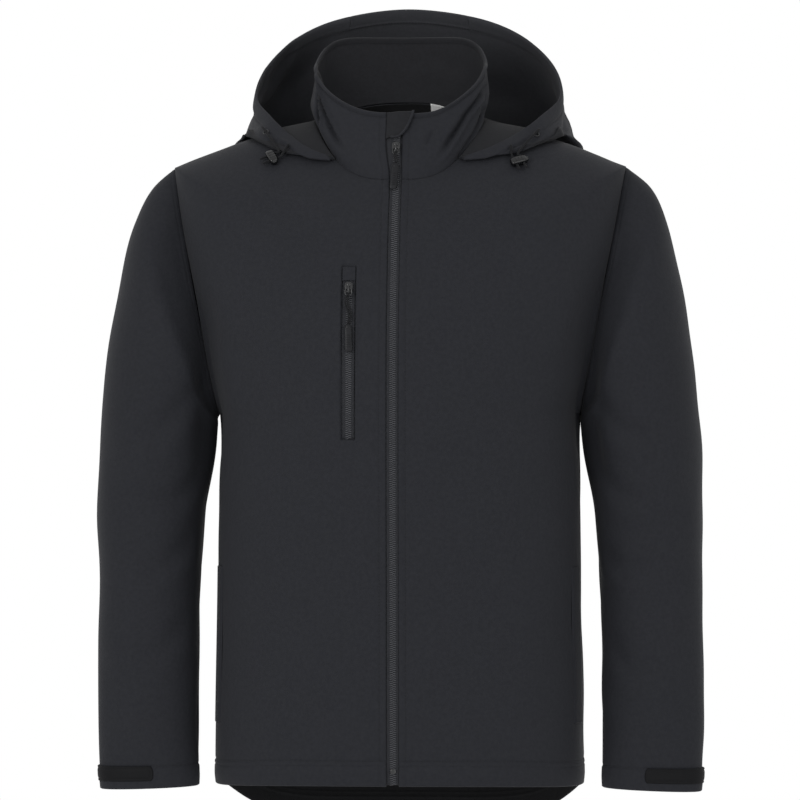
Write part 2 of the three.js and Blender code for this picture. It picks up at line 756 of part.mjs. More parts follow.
function sliderBody() {
  const base = plate(roundedShape(SLIDER.width, SLIDER.length, SLIDER.round), SLIDER.thick);
  const half = BRIDGE.length / 2;
  const flat = BRIDGE.flat / 2;
  const arch = new THREE.Shape();
  arch.moveTo(-half, -SLIDER.thick / 2);
  arch.lineTo(half, -SLIDER.thick / 2);
  arch.lineTo(half, BRIDGE.shoulder);
  arch.quadraticCurveTo(half, BRIDGE.height, flat, BRIDGE.height);
  arch.lineTo(-flat, BRIDGE.height);
  arch.quadraticCurveTo(-half, BRIDGE.height, -half, BRIDGE.shoulder);
  arch.closePath();
  const hole = new THREE.Path();
  const reach = HOLE.length / 2;
  hole.moveTo(-reach, HOLE.low);
  hole.lineTo(-reach, HOLE.high);
  hole.lineTo(reach, HOLE.high);
  hole.lineTo(reach, HOLE.low);
  hole.closePath();
  arch.holes.push(hole);
  const bridge = plate(arch, BRIDGE.width);
  const stand = new THREE.Matrix4().makeBasis(vec(0, 1, 0), vec(0, 0, 1), vec(1, 0, 0));
  bridge.applyMatrix4(stand);
  bridge.translate(-BRIDGE.width / 2, HINGE_BACK, SLIDER.thick);
  return joined(base, bridge);
}

// The pull hangs from its hinge at the local origin, down -y
function pullBody({ cordLength, tilt }) {
  const { link, bar, legs, cord, cordThick, cordRound } = PULL;
  const { tab, tabLength, tabThick, tabRound } = PULL;
  const ring = new THREE.Shape();
  const [x, top] = [link / 2, bar / 2];
  ring.moveTo(-x, top);
  ring.lineTo(-x, -legs);
  ring.lineTo(x, -legs);
  ring.lineTo(x, top);
  ring.closePath();
  const gap = new THREE.Path();
  gap.moveTo(-x + bar, top - bar);
  gap.lineTo(x - bar, top - bar);
  gap.lineTo(x - bar, -legs + bar);
  gap.lineTo(-x + bar, -legs + bar);
  gap.closePath();
  ring.holes.push(gap);
  const wire = plate(ring, bar).translate(0, 0, -bar / 2);
  const strand = plate(roundedShape(cord, cordLength + 2, cordRound), cordThick);
  strand.translate(0, -legs - cordLength / 2, -cordThick / 2);
  const grip = plate(roundedShape(tab, tabLength, tabRound), tabThick);
  grip.translate(0, -tabLength / 2, -tabThick / 2);
  grip.rotateZ(tilt).translate(0, -legs - cordLength, 0);
  return joined(wire, strand, grip);
}

// A slider at one place of a zip and its pull, whose tip rests on the cloth at another
function zipHardware(name, seat, seatNormal, tip, pull) {
  const across = vec(1, 0, 0);
  const frame = (origin, out) => {
    const up = out.clone().cross(across).normalize();
    const off = across.clone().cross(up);
    return new THREE.Matrix4().makeBasis(across, up, off).setPosition(origin);
  };
  const flatSeat = seatNormal.clone().setX(0).normalize();
  const seatFrame = frame(seat.clone().addScaledVector(flatSeat, LIE), flatSeat);
  add(`${name}_slider`, 'metal', sliderBody().applyMatrix4(seatFrame));
  const hinge = vec(0, HINGE_BACK, HINGE_HEIGHT).applyMatrix4(seatFrame);
  const down = tip.clone().sub(hinge).setX(0).normalize();
  const off = down.clone().cross(across).normalize(); // away from the cloth
  const pullFrame = new THREE.Matrix4().makeBasis(across, down.clone().negate(), off).setPosition(hinge);
  add(`${name}_pull`, 'rubber', pullBody(pull).applyMatrix4(pullFrame));
}

function normalOf(point, x, z) {
  const step = 0.5;
  const side = point(x + step, z).sub(point(x - step, z));
  const rise = point(x, z + step).sub(point(x, z - step));
  return side.cross(rise).normalize();
}

const reach = (pull) => PULL.legs + pull.cordLength + PULL.tabLength;
const PULL_REST = 2.4; // middle of the tab off the cloth

const MAIN = { row: NECK + 1.66, cordLength: 12, tilt: degrees(-5) };
const mainSeat = onZip(0, MAIN.row);
const mainSide = onZip(1, MAIN.row).sub(onZip(-1, MAIN.row));
const mainRise = onZip(0, MAIN.row + 0.05).sub(onZip(0, MAIN.row - 0.05));
const mainNormal = mainSide.cross(mainRise).normalize();
const mainTip = onFront(0, mainSeat.z - reach(MAIN));
mainTip.addScaledVector(normalOf(onFront, 4, mainTip.z), PULL_REST);
mainSeat.addScaledVector(mainNormal, -ZIP_SUNK);
zipHardware('front_zip', mainSeat, mainNormal, mainTip, MAIN);

const CHEST = { z: -153, cordLength: 33, tilt: degrees(2) };
const chestSeat = onFront(POCKET.x, CHEST.z);
const chestNormal = normalOf(onFront, POCKET.x, CHEST.z);
const chestTip = onFront(POCKET.x, CHEST.z - reach(CHEST));
chestTip.addScaledVector(normalOf(onFront, POCKET.x, chestTip.z), PULL_REST);
chestSeat.addScaledVector(chestNormal, stripFace);
zipHardware('chest_zip', chestSeat, chestNormal, chestTip, CHEST);

// Hood cords: an eyelet in the hood, two strands down to a cord lock, and two free ends

const CORD = { radius: 1.3, sides: 8, steps: 6 };
const LOCK = { width: 19, height: 9.5, depth: 8.5, round: 3.6, bevel: 1.4 };
const EYELET = { outer: 4, inner: 2.1, thick: 1 };
// The strands' spacing, their gap to the lock, their free ends, and how far they leave the lock, the hood
// and the eyelet before they bend
const STRAND = { apart: 8, above: 1.2, end: 6, rise: 4, fromHood: 3, fromEyelet: 5, forward: 3, backward: 1 };

// Places on the hood are shares: a round it from its left front end, b from the neck to the rim
const CORD_SETS = [
  {
    side: 'left', x: 131, row: 8.03, tilt: degrees(20),
    eyelet: { a: 0.155, b: 0.86 }, rear: { a: 0.1, b: 0.8 },
  },
  {
    side: 'right', x: -135, row: 8.05, tilt: degrees(-60),
    eyelet: { a: 0.83, b: 0.86 }, rear: { a: 0.895, b: 0.8 },
  },
];

function cordTube(points) {
  const path = new THREE.CatmullRomCurve3(points);
  const section = new THREE.Shape();
  for (let k = 0; k < CORD.sides; k++) {
    const turn = (2 * PI * k) / CORD.sides;
    const [x, y] = [CORD.radius * cos(turn), CORD.radius * sin(turn)];
    if (k === 0) section.moveTo(x, y);
    else section.lineTo(x, y);
  }
  section.closePath();
  return new THREE.ExtrudeGeometry(section, { steps: CORD.steps, extrudePath: path, bevelEnabled: false });
}

function lockSolid() {
  const { width, height, depth, round, bevel } = LOCK;
  const outline = roundedShape(width - 2 * bevel, height - 2 * bevel, round - bevel);
  const body = new THREE.ExtrudeGeometry(outline, {
    depth: depth - 2 * bevel,
    bevelSize: bevel,
    bevelThickness: bevel,
    bevelSegments: 2,
    curveSegments: 3,
  });
  return body.translate(0, 0, bevel);
}

function eyeletRing() {
  const ring = new THREE.Shape().absarc(0, 0, EYELET.outer, 0, 2 * PI);
  ring.holes.push(new THREE.Path().absarc(0, 0, EYELET.inner, 0, 2 * PI));
  return plate(ring, EYELET.thick);
}

function onHood({ a, b }) {
  return { point: hoodPoint(a, b), normal: normalAt(hoodPoint, a, b, 1, false) };
}

const offHood = (place, lift) => place.point.clone().addScaledVector(place.normal, lift);

// The frame of a cord lock on the yoke: x across, y up, z off the cloth
function lockFrame({ x, row, tilt }) {
  const hand = sign(x);
  const at = (a, b) => {
    const ring = bodyRing(row - 0.5 + b, false);
    const p = ringPoint(ring, turnAt(ring, abs(x)) + a - 0.5);
    return p.setX(p.x * hand);
  };
  const seat = at(0.5, 0.5);
  const normal = normalAt(at, 0.5, 0.5, hand, true);
  const up = vec(0, 0, 1).projectOnPlane(normal).normalize();
  const frame = new THREE.Matrix4().makeBasis(up.clone().cross(normal), up, normal);
  frame.multiply(new THREE.Matrix4().makeRotationZ(tilt));
  return frame.setPosition(seat.addScaledVector(normal, 2 * LIE));
}

function cordSet(set) {
  const frame = lockFrame(set);
  const local = (x, y, z) => vec(x, y, z).applyMatrix4(frame);
  const middle = LOCK.depth / 2;
  const top = LOCK.height / 2 + STRAND.above;
  const bottom = -LOCK.height / 2 - SEAM;
  const side = (sign(set.x) * STRAND.apart) / 2;
  add(`cord_lock_${set.side}`, 'rubber', lockSolid().applyMatrix4(frame));

  const eye = onHood(set.eyelet);
  const facing = new THREE.Matrix4().lookAt(eye.normal, vec(0, 0, 0), vec(0, 0, 1));
  facing.setPosition(offHood(eye, LIE));
  add(`eyelet_${set.side}`, 'metal', eyeletRing().applyMatrix4(facing));

  const start = EYELET.thick + 4 * LIE;
  const toEyelet = [
    offHood(eye, start),
    offHood(eye, start + STRAND.fromEyelet),
    local(side, top + STRAND.rise, middle + STRAND.forward),
    local(side, top, middle),
  ];
  add(`cord_${set.side}_eyelet`, 'cord', cordTube(toEyelet));

  const rear = onHood(set.rear);
  const lift = CORD.radius + LIE;
  const toHood = [
    local(-side, top, middle),
    local(-side, top + STRAND.rise, middle + STRAND.backward),
    offHood(rear, lift + STRAND.fromHood),
    offHood(rear, lift),
  ];
  add(`cord_${set.side}_hem`, 'cord', cordTube(toHood));

  for (const [name, x] of [['front', STRAND.apart / 2], ['rear', -STRAND.apart / 2]]) {
    const end = [0, STRAND.end / 2, STRAND.end].map((down) => local(x, bottom - down, middle));
    add(`cord_${set.side}_end_${name}`, 'cord', cordTube(end));
  }
}

CORD_SETS.forEach(cordSet);

// Plain size label, sewn in at the back of the neck

const LABEL = { from: 31, to: 50, highRow: 8.99, lowRow: 8.45, lift: 3, thick: 0.9 };

function neckLabel() {
  const point = (a, b) => {
    const ring = bodyRing(lerp(LABEL.lowRow, LABEL.highRow, b), true);
    return ringPoint(ring, PI - turnAt(ring, lerp(LABEL.from, LABEL.to, a)));
  };
  const outer = () => -LABEL.lift;
  const inner = () => -LABEL.lift - LABEL.thick;
  return wall({ across: 3, along: 5, point, facing: -1, outer, inner });
}

add('neck_label', 'label', neckLabel());

export default jacket;
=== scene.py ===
"""Looks of a hooded softshell jacket, filled out as if worn.

The forms are those of the solids, in millimetres: +Z up, front towards -Y, the wearer's left at +X.
Each cloth piece is a thin shell over a grid of points, with its creases, seams and stitching.
"""

import json
import math

import bpy
import numpy as np
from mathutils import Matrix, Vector


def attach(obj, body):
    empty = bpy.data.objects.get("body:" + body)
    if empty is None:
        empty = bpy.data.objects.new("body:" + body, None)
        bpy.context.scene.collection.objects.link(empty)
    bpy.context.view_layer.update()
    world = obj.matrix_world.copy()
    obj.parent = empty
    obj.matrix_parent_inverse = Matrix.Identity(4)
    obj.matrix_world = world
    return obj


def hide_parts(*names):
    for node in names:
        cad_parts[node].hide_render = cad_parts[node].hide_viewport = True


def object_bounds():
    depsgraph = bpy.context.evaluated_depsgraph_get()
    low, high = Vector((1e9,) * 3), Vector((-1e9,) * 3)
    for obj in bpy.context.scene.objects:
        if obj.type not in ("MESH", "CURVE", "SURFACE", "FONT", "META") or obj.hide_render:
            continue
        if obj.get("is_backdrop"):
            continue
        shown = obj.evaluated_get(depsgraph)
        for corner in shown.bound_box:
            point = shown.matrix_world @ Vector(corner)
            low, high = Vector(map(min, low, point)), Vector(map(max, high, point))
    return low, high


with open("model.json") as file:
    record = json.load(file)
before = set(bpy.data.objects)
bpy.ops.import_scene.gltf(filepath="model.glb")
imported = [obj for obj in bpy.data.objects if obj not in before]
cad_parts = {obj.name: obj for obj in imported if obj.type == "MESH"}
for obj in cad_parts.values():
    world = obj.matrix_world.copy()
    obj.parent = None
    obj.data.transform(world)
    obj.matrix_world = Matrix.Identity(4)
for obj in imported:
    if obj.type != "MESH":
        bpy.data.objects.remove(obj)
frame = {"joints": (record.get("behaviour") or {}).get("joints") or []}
CAD_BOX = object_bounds()

MM = 0.001
CLOTH = 1.6
EDGE_ROUND = 0.3  # radius of a cut edge; a roll adds to it
ROLL_ROUND = 1.4
SEAM = 0.3
ZIP_EDGE = 6.5
ZIP_SUNK = 0.6
COLLAR_FLARE = 5
ARMPIT, SHOULDER, NECK = 5, 7, 9  # rows of the body table
FINE, COARSE = 0.9, 3.6  # steps of the grids
QUARTER = math.pi / 2
X, Y, Z = np.eye(3)
SIDES = {"left": 1, "right": -1}  # the wearer's


def columns(names, rows):
    """A table as one array for each named column."""
    return dict(zip(names.split(), np.array(rows, float).T))


RING = "zFront zSide zBack halfWidth yFront yMid yBack square riseFront riseBack"
BODY = columns(RING, [
    (-682, -688, -737, 199, -138, 0, 126, 2.5, 2.6, 4.3),
    (-655, -662, -700, 200, -141, 0, 128, 2.5, 2.6, 3.2),
    (-590, -594, -614, 199, -144, 0, 128, 2.5, 2.4, 2.6),
    (-484, -482, -490, 197, -146, 0, 123, 2.5, 2.2, 2.2),
    (-386, -380, -384, 196, -150, 0, 128, 2.5, 2, 2),
    (-300, -287, -288, 196.5, -152, 0, 135, 2.4, 2, 2),
    (-194, -153, -150, 221, -146, 2, 137, 2.4, 2, 2),
    (-90, -18.5, -24, 246, -114, 5, 113, 2.2, 2, 2),
    (-61, 12, 20, 165, -98, 7, 94, 2.1, 2.4, 2.2),
    (-36, 29, 56, 88, -85, 8, 75, 2.1, 3.3, 2.5),
])
YOKE = {name: column[SHOULDER:] for name, column in BODY.items()}
COLLAR = columns(RING + " tilt", [
    (-35.6, 29.4, 56.4, 88, -85, 8, 75, 2.1, 3.3, 2.5, 0),
    (-15, 47, 76, 98, -81, 9, 81, 2.1, 3.2, 3, 0),
    (6, 66, 98, 96.5, -73, 12, 86, 2.15, 3.1, 3.5, 3),
    (23, 81, 116, 94.5, -64, 14, 89, 2.2, 2.8, 4.5, 8),
    (38, 95, 130, 93, -57, 15, 90, 2.3, 2.6, 5, 14),
])
TILT_SPREAD = 5  # the higher, the nearer the sides a collar row's tilt stays
COLLAR_TOP = 4
SLEEVE = columns("xOut zOut xIn zIn yOut yIn front back square", [
    (246, -18.5, 196.5, -287, 5, 0, 42, 50, 2),
    (272.5, -43, 197.8, -290, 5, 0, 60, 63, 2.1),
    (289, -80, 199, -294, 5, 0, 73, 71, 2.2),
    (302, -130, 200, -299, 5, 1, 75, 72, 2.2),
    (314.5, -200, 200.8, -306, 5, 2, 72, 71, 2.2),
    (323, -272, 202, -318, 4, 2, 68, 69, 2.2),
    (327.5, -340, 205, -342, 3, 2, 65, 66, 2.2),
    (329.5, -395, 212.5, -395, 2, 1, 61, 62, 2.2),
    (328.5, -450, 217, -450, 0, -1, 56, 58, 2.2),
    (329, -530, 220, -530, -8, -8, 50, 49, 2.2),
    (329, -610, 221, -610, -18, -18, 42, 41, 2.2),
    (327.5, -664, 220.5, -662, -25, -25, 36, 36, 2.2),
    (326, -694, 220.5, -690, -29, -29, 33, 33, 2.2),
])
SLEEVE_END = 12
# How far each sleeve stands sideways from the mirrored form, by height
SLEEVE_SHIFT = {
    1: ([-690, -450, -250, -60], [1, 0, 0.5, 1]),
    -1: ([-690, -450, -250, -60], [2.5, -0.5, -2, -1]),
}
HOOD = columns("neckTurn lowRow lowTurn lift xBulge yBulge zBulge xRim yRim zRim lean", [
    (46, 8.88, 46.5, 3, 72, -64, -13, 73, -62, -9, 0),
    (58, 8.55, 52, 4, 101, -60, -9, 98, -53, 1, 2),
    (70, 8.2, 58, 5, 131, -45, 5, 121, -36, 15, 5),
    (82, 8.02, 72, 6, 160, -17, 17, 147, -11, 37, 7),
    (96, 7.86, 96, 8, 174, 38, 26, 168, 38, 63, 7),
    (114, 7.4, 118, 10, 171, 104, 46, 158, 92, 101, 6),
    (134, 6.9, 139, 12, 148, 160, 56, 124, 130, 136, 4),
    (156, 6.55, 160, 14, 84, 192, 60, 73, 153, 158, 2),
    (180, 6.45, 180, 15, 0, 202, 60, 0, 164, 168, 0),
])
HOOD_SIDES = 8
HOOD_NECK_ROW = 8.96
HOOD_NECK_LIFT = 3.8
HOOD_CENTRE = 0.9
POCKET = {"x": -47, "half": 7.4, "low": -314, "high": -130, "garage": 15}


# Form


def on_both_sides(name, column):
    """A column of the hood's table, carried on round its other side by mirroring."""
    mirrored = 360 - column if name.endswith("Turn") else -column if name.startswith("x") else column
    return np.concatenate([column, mirrored[-2::-1]])


HOOD_ROUND = {name: on_both_sides(name, column) for name, column in HOOD.items()}


def smooth(t):
    k = np.clip(t, 0, 1)
    return k * k * (3 - 2 * k)


def lerp(a, b, t):
    return a + (b - a) * t


def power(value, exponent):
    return np.sign(value) * np.abs(value) ** exponent


def curve(p0, p1, p2, p3, t):
    bend = 2 * p0 - 5 * p1 + 4 * p2 - p3
    twist = 3 * p1 - p0 - 3 * p2 + p3
    return p1 + 0.5 * t * (p2 - p0 + t * (bend + t * twist))


def drawn_out(values):
    """The values with one more before and after, in line with the two at each end."""
    return np.concatenate([2 * values[:1] - values[1:2], values, 2 * values[-1:] - values[-2:-1]])


def spline(values, place):
    """A smooth curve through the values along the first axis, at any place between them."""
    i = np.clip(np.floor(place).astype(int), 0, len(values) - 2)
    c = drawn_out(values)
    return curve(c[i], c[i + 1], c[i + 2], c[i + 3], place - i)


def blend(table, place):
    place = np.asarray(place, float)
    return {name: spline(column, place) for name, column in table.items()}


def half_of(ring, is_back):
    """The depth, height and rise of a ring's back or front half."""
    return [np.where(is_back, ring[name + "Back"], ring[name + "Front"]) for name in ("y", "z", "rise")]


def ring_point(ring, turn):
    y, z, rise = half_of(ring, np.cos(turn) < 0)
    across = ring["halfWidth"] * power(np.sin(turn), 2 / ring["square"])
    depth = ring["yMid"] + (y - ring["yMid"]) * np.abs(np.cos(turn)) ** (2 / ring["square"])
    leaned = 2 * ring.get("tilt", 0) * np.cos(turn) * np.abs(np.sin(turn)) ** TILT_SPREAD
    height = z + (ring["zSide"] - z) * np.abs(np.sin(turn)) ** rise - leaned
    return np.stack(np.broadcast_arrays(across, depth, height), -1)


def turn_at(ring, x):
    return np.arcsin(np.clip(x / ring["halfWidth"], 0, 1) ** (ring["square"] / 2))


def sleeve_point(place, turn):
    s = blend(SLEEVE, place)
    along = (1 + power(np.cos(turn), 2 / s["square"])) / 2
    across = power(np.sin(turn), 2 / s["square"])
    depth = np.where(across > 0, s["front"], s["back"])
    x = lerp(s["xIn"], s["xOut"], along)
    y = lerp(s["yIn"], s["yOut"], along) - depth * across
    z = lerp(s["zIn"], s["zOut"], along)
    return np.stack(np.broadcast_arrays(x, y, z), -1)


def body_ring(place, is_back):
    """A row of the body form. Between armpit and shoulder its edge lies on the armhole."""
    ring = blend(BODY, place)
    yoke = blend(YOKE, np.maximum(place - SHOULDER, 0))
    for name in ("halfWidth", "zSide"):
        ring[name] = np.where(place > SHOULDER, yoke[name], ring[name])
    up = np.pi * (np.clip(place, ARMPIT, SHOULDER) - ARMPIT) / (SHOULDER - ARMPIT)
    hole = sleeve_point(np.zeros_like(up), np.where(is_back, np.pi + up, np.pi - up))
    y, z, rise = half_of(ring, is_back)
    reach = np.clip(np.abs((hole[..., 1] - ring["yMid"]) / (y - ring["yMid"])), 0, 0.99)
    half = hole[..., 0] / (1 - reach ** ring["square"]) ** (1 / ring["square"])
    edge = np.arcsin(np.clip(hole[..., 0] / half, 0, 1) ** (ring["square"] / 2))
    on_hole = (place > ARMPIT) & (place < SHOULDER)
    side = z + (hole[..., 2] - z) / np.sin(edge) ** rise
    ring["halfWidth"] = np.where(on_hole, half, ring["halfWidth"])
    ring["zSide"] = np.where(on_hole, side, ring["zSide"])
    ring["edge"] = np.where(on_hole, edge, QUARTER)
    return ring


def body_point(place, turn):
    return ring_point(body_ring(place, np.cos(turn) < 0), turn)


def unit(v):
    return v / np.maximum(np.linalg.norm(v, axis=-1, keepdims=True), 1e-9)


def normal_at(surface, a, b, step=0.002):
    """The normal of a surface(a, b), from small steps to all sides."""
    along_a = surface(a + step, b) - surface(a - step, b)
    return unit(np.cross(along_a, surface(a, b + step) - surface(a, b - step)))


def off_body(place, turn, lift):
    """A point of the body form moved off it along its normal."""
    normal = normal_at(lambda t, row: body_point(row, t), turn, place)
    return body_point(place, turn) + normal * np.asarray(lift)[..., None]


def collar_point(turn, row):
    p = ring_point(blend(COLLAR, row), turn)
    out = np.stack(np.broadcast_arrays(np.sin(turn), -np.cos(turn), 0 * turn), -1)
    return p - out * fold_depth(turn, row)[..., None]


# Collar folds, from low to high, in degrees round the neck and rows up the collar
COLLAR_FOLDS = [
    # turn low, turn high, row low, row high, depth, width
    (60, 84, 0.3, 2.6, 4.5, 7),
    (84, 101, -0.2, 1.9, 8, 11),
    (-52, -82, 0.9, 3.2, 3, 6),
    (-78, -90, 1.2, 3.4, 3, 6),
    (150, 138, 0.2, 2.2, 2.5, 8),
]


def fold_depth(turn, row):
    sunk = np.zeros(np.broadcast(turn, row).shape)
    for turn_low, turn_high, row_low, row_high, depth, width in COLLAR_FOLDS:
        along = (row - row_low) / (row_high - row_low)
        off = (np.degrees(turn) - lerp(turn_low, turn_high, along) + 540) % 360 - 180
        sunk = sunk + depth * smooth(along * 3) * smooth((1 - along) * 3) * np.exp(-((off / width) ** 2))
    return sunk


def hood_point(a, b):
    """a runs round the hood from its left front end, b from the neck seam out to the rim."""
    s = blend(HOOD_ROUND, a * 2 * HOOD_SIDES)
    neck, low = np.radians(s["neckTurn"]), np.radians(s["lowTurn"])

    def on_body(t, lift):
        return off_body(lerp(HOOD_NECK_ROW, s["lowRow"], t), lerp(neck, low, t), lift)

    knots = np.stack([
        on_body(0, 0 * a + HOOD_NECK_LIFT),
        on_body(0.45, 0 * a + HOOD_NECK_LIFT),
        on_body(0.85, HOOD_NECK_LIFT + 0.15 * s["lift"]),
        on_body(1, s["lift"]),
        np.stack([s["xBulge"], s["yBulge"], s["zBulge"]], -1),
        np.stack([s["xRim"], s["yRim"], s["zRim"]], -1),
    ])
    c = drawn_out(knots)
    t = b * (len(knots) - 1)
    i = np.clip(np.floor(t).astype(int), 0, len(knots) - 2)
    near = [np.take_along_axis(c, (i + k)[None, ..., None], 0)[0] for k in range(4)]
    p = curve(*near, (t - i)[..., None])
    p[..., 0] += s["lean"] * smooth(b)
    return p


# Grids and shells


def marks(length, fine):
    """Places along a length, close together in the fine stretches. A negative place counts from the end."""
    spans = [(lo if lo >= 0 else length + lo, hi if hi > 0 else length + hi) for lo, hi in fine]
    found = [0.0]
    while found[-1] < length:
        s = found[-1]
        near = min([max(lo - s, s - hi, 0) for lo, hi in spans], default=COARSE)
        found.append(s + min(COARSE, FINE + 0.45 * near))
    return np.array(found) / found[-1] * length


def arc(points, axis):
    """Length along the grid from its first line, at every point."""
    d = np.linalg.norm(np.diff(points, axis=axis), axis=-1)
    return np.concatenate([np.zeros_like(d.take([0], axis)), np.cumsum(d, axis)], axis)


class Grid:
    """The points, normals and edge distances of one cloth piece."""

    def __init__(self, point, facing=1, fine_a=(), fine_b=(), at_a=0.35, at_b=0.4, loop=False):
        probe = np.linspace(0, 1, 600)
        self.a = self.spaced(point(probe, 0 * probe + at_b), probe, fine_a)
        self.b = self.spaced(point(0 * probe + at_a, probe), probe, fine_b)
        self.loop = loop
        if loop:
            self.a = self.a[:-1]
        a, b = np.meshgrid(self.a, self.b)
        self.p = point(a, b)
        self.u, self.v = a, b
        wrapped = np.concatenate([self.p[:, -1:], self.p, self.p[:, :1]], 1) if loop else self.p
        across = np.gradient(wrapped, axis=1)
        across = across[:, 1:-1] if loop else across
        self.n = unit(np.cross(across, np.gradient(self.p, axis=0))) * facing
        self.first, self.low = arc(self.p, 1), arc(self.p, 0)
        self.last, self.high = self.first[:, -1:] - self.first, self.low[-1:] - self.low
        self.lift = np.zeros(self.first.shape)

    @staticmethod
    def spaced(line, probe, fine):
        run = arc(line, 0)
        return np.interp(marks(run[-1], fine), run, probe)

    def on_side(self, side):
        """The grid itself for the left side, its mirror image for the right."""
        self.p, self.n = self.p * (side, 1, 1), self.n * (side, 1, 1)
        return self

    @property
    def outer(self):
        return self.p + self.n * self.lift[..., None]

    @property
    def inset(self):
        return np.minimum.reduce([self.first, self.last, self.low, self.high])

    def line(self, edge, distance, start=0.0, stop=1.0):
        """Points and normals along the piece at one distance from an edge, between two shares of it."""
        field = getattr(self, edge)
        along_rows = edge in ("low", "high")
        field = field.T if along_rows else field
        outer = self.outer.swapaxes(0, 1) if along_rows else self.outer
        normal = self.n.swapaxes(0, 1) if along_rows else self.n
        keep = range(round(start * (len(field) - 1)), round(stop * (len(field) - 1)) + 1)
        found = []
        for k in keep:
            order = np.argsort(field[k])
            if not field[k].min() <= distance <= field[k].max():
                continue
            found.append([
                [np.interp(distance, field[k][order], values[k][order, c]) for c in range(3)]
                for values in (outer, normal)
            ])
        found = np.array(found)
        if self.loop and along_rows:
            found = np.concatenate([found, found[:1]])
        return found[:, 0], unit(found[:, 1])


def trough(distance, centre, width, depth):
    return -depth * np.exp(-(((distance - centre) / width) ** 2))


def crease(u, v, row, ridge=0.5):
    """A soft trough along a path in (u, v), with a lower ridge beside it, fading out at both ends.

    Its row gives its depth and width, then u and v of each point of the path.
    """
    depth, width = row[:2]
    path = np.reshape(row[2:], (-1, 2)).astype(float)
    runs = np.linalg.norm(np.diff(path, axis=0), axis=1)
    total, done = runs.sum(), 0.0
    best, share, side = np.full(u.shape, 1e9), np.zeros(u.shape), np.ones(u.shape)
    for start, step, run in zip(path[:-1], np.diff(path, axis=0), runs):
        du, dv = u - start[0], v - start[1]
        t = np.clip((du * step[0] + dv * step[1]) / run**2, 0, 1)
        off = np.hypot(du - t * step[0], dv - t * step[1])
        closer = off < best
        best = np.where(closer, off, best)
        share = np.where(closer, (done + t * run) / total, share)
        side = np.where(closer, np.sign(step[0] * dv - step[1] * du), side)
        done += run
    fade = smooth(share * 3.2) * smooth((1 - share) * 3.2)
    profile = np.exp(-((best / width) ** 2)) - ridge * np.exp(-(((side * best - 1.7 * width) / width) ** 2))
    return -depth * fade * profile


def creases(u, v, rows):
    return sum((crease(u, v, row) for row in rows), np.zeros(u.shape))


def waves(u, v, size, seed):
    """A slow uneven swell: a few crossed sines from a fixed seed."""
    random = np.random.default_rng(seed)
    height = np.zeros(u.shape)
    for _ in range(7):
        angle, length = random.uniform(0, np.pi), random.uniform(70, 190)
        phase = random.uniform(0, 2 * np.pi)
        height += np.sin(2 * np.pi * (u * np.cos(angle) + v * np.sin(angle)) / length + phase)
    return size * height / 7


def in_scene(name, data):
    made = bpy.data.objects.new(name, data)
    bpy.context.scene.collection.objects.link(made)
    return made


def make_mesh(name, points, faces, material, body="garment"):
    mesh = bpy.data.meshes.new(name)
    mesh.from_pydata((np.asarray(points) * MM).tolist(), [], faces)
    mesh.polygons.foreach_set("use_smooth", np.ones(len(mesh.polygons), bool))
    mesh.update()
    mesh.materials.append(material)
    piece = in_scene(name, mesh)
    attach(piece, body)
    return piece


def grid_faces(rows, cols, start, loop, flip):
    j, i = np.meshgrid(np.arange(rows - 1), np.arange(cols if loop else cols - 1), indexing="ij")
    j, i = j.ravel(), i.ravel()
    k = (i + 1) % cols
    quads = np.stack([j * cols + i, j * cols + k, (j + 1) * cols + k, (j + 1) * cols + i], 1) + start
    return quads[:, ::-1] if flip else quads


def shell(name, grid, material, edges="low high first last", roll=0.0, thick=CLOTH, inside=None):
    """The cloth piece itself: its outer face, its inner face, and the rounded edges that join them."""
    rows, cols = grid.lift.shape
    half = thick / 2 + roll
    narrow = np.ones(grid.lift.shape)
    for edge in edges.split():
        if grid.loop and edge in ("first", "last"):
            continue
        t = np.clip(getattr(grid, edge) / (EDGE_ROUND + ROLL_ROUND * roll), 0, 1)
        narrow = np.minimum(narrow, np.sqrt(np.clip(1 - (1 - t) ** 2, 0.01, 1)))
    middle = grid.lift - thick / 2
    outer = grid.p + grid.n * (middle + half * narrow)[..., None]
    inner = grid.p + grid.n * (middle - half * narrow)[..., None]
    points = np.concatenate([outer.reshape(-1, 3), inner.reshape(-1, 3)])
    size = rows * cols
    flip = np.sum(np.cross(outer[0, 1] - outer[0, 0], outer[1, 0] - outer[0, 0]) * grid.n[0, 0]) < 0
    faces = [grid_faces(rows, cols, 0, grid.loop, flip), grid_faces(rows, cols, size, grid.loop, not flip)]
    for loop in rim_loop(rows, cols, grid.loop):
        loop = loop[::-1] if flip else loop
        after = np.roll(loop, -1)
        faces.append(np.stack([loop, loop + size, after + size, after], 1))
    piece = make_mesh(name, points, np.concatenate(faces).tolist(), material)
    if inside is not None:
        piece.data.materials.append(inside)
        slots = np.concatenate([np.full(len(f), k == 1) for k, f in enumerate(faces)])
        piece.data.polygons.foreach_set("material_index", slots.astype(np.int32))
    return piece


def rim_loop(rows, cols, loop):
    """The border of a grid as closed loops of point numbers."""
    bottom = np.arange(cols)
    top = (rows - 1) * cols + np.arange(cols)
    if loop:
        return [bottom, top[::-1]]
    right = np.arange(1, rows) * cols + cols - 1
    left = np.arange(rows - 2, 0, -1) * cols
    return [np.concatenate([bottom, right, top[::-1][1:], left])]


# Small parts: tubes, stitches and blocks


def trim(name, shape, material, body="garment"):
    """A small part that hides no solid of its own, with its finish."""
    made = make_mesh(name, *shape, material, body)
    return made


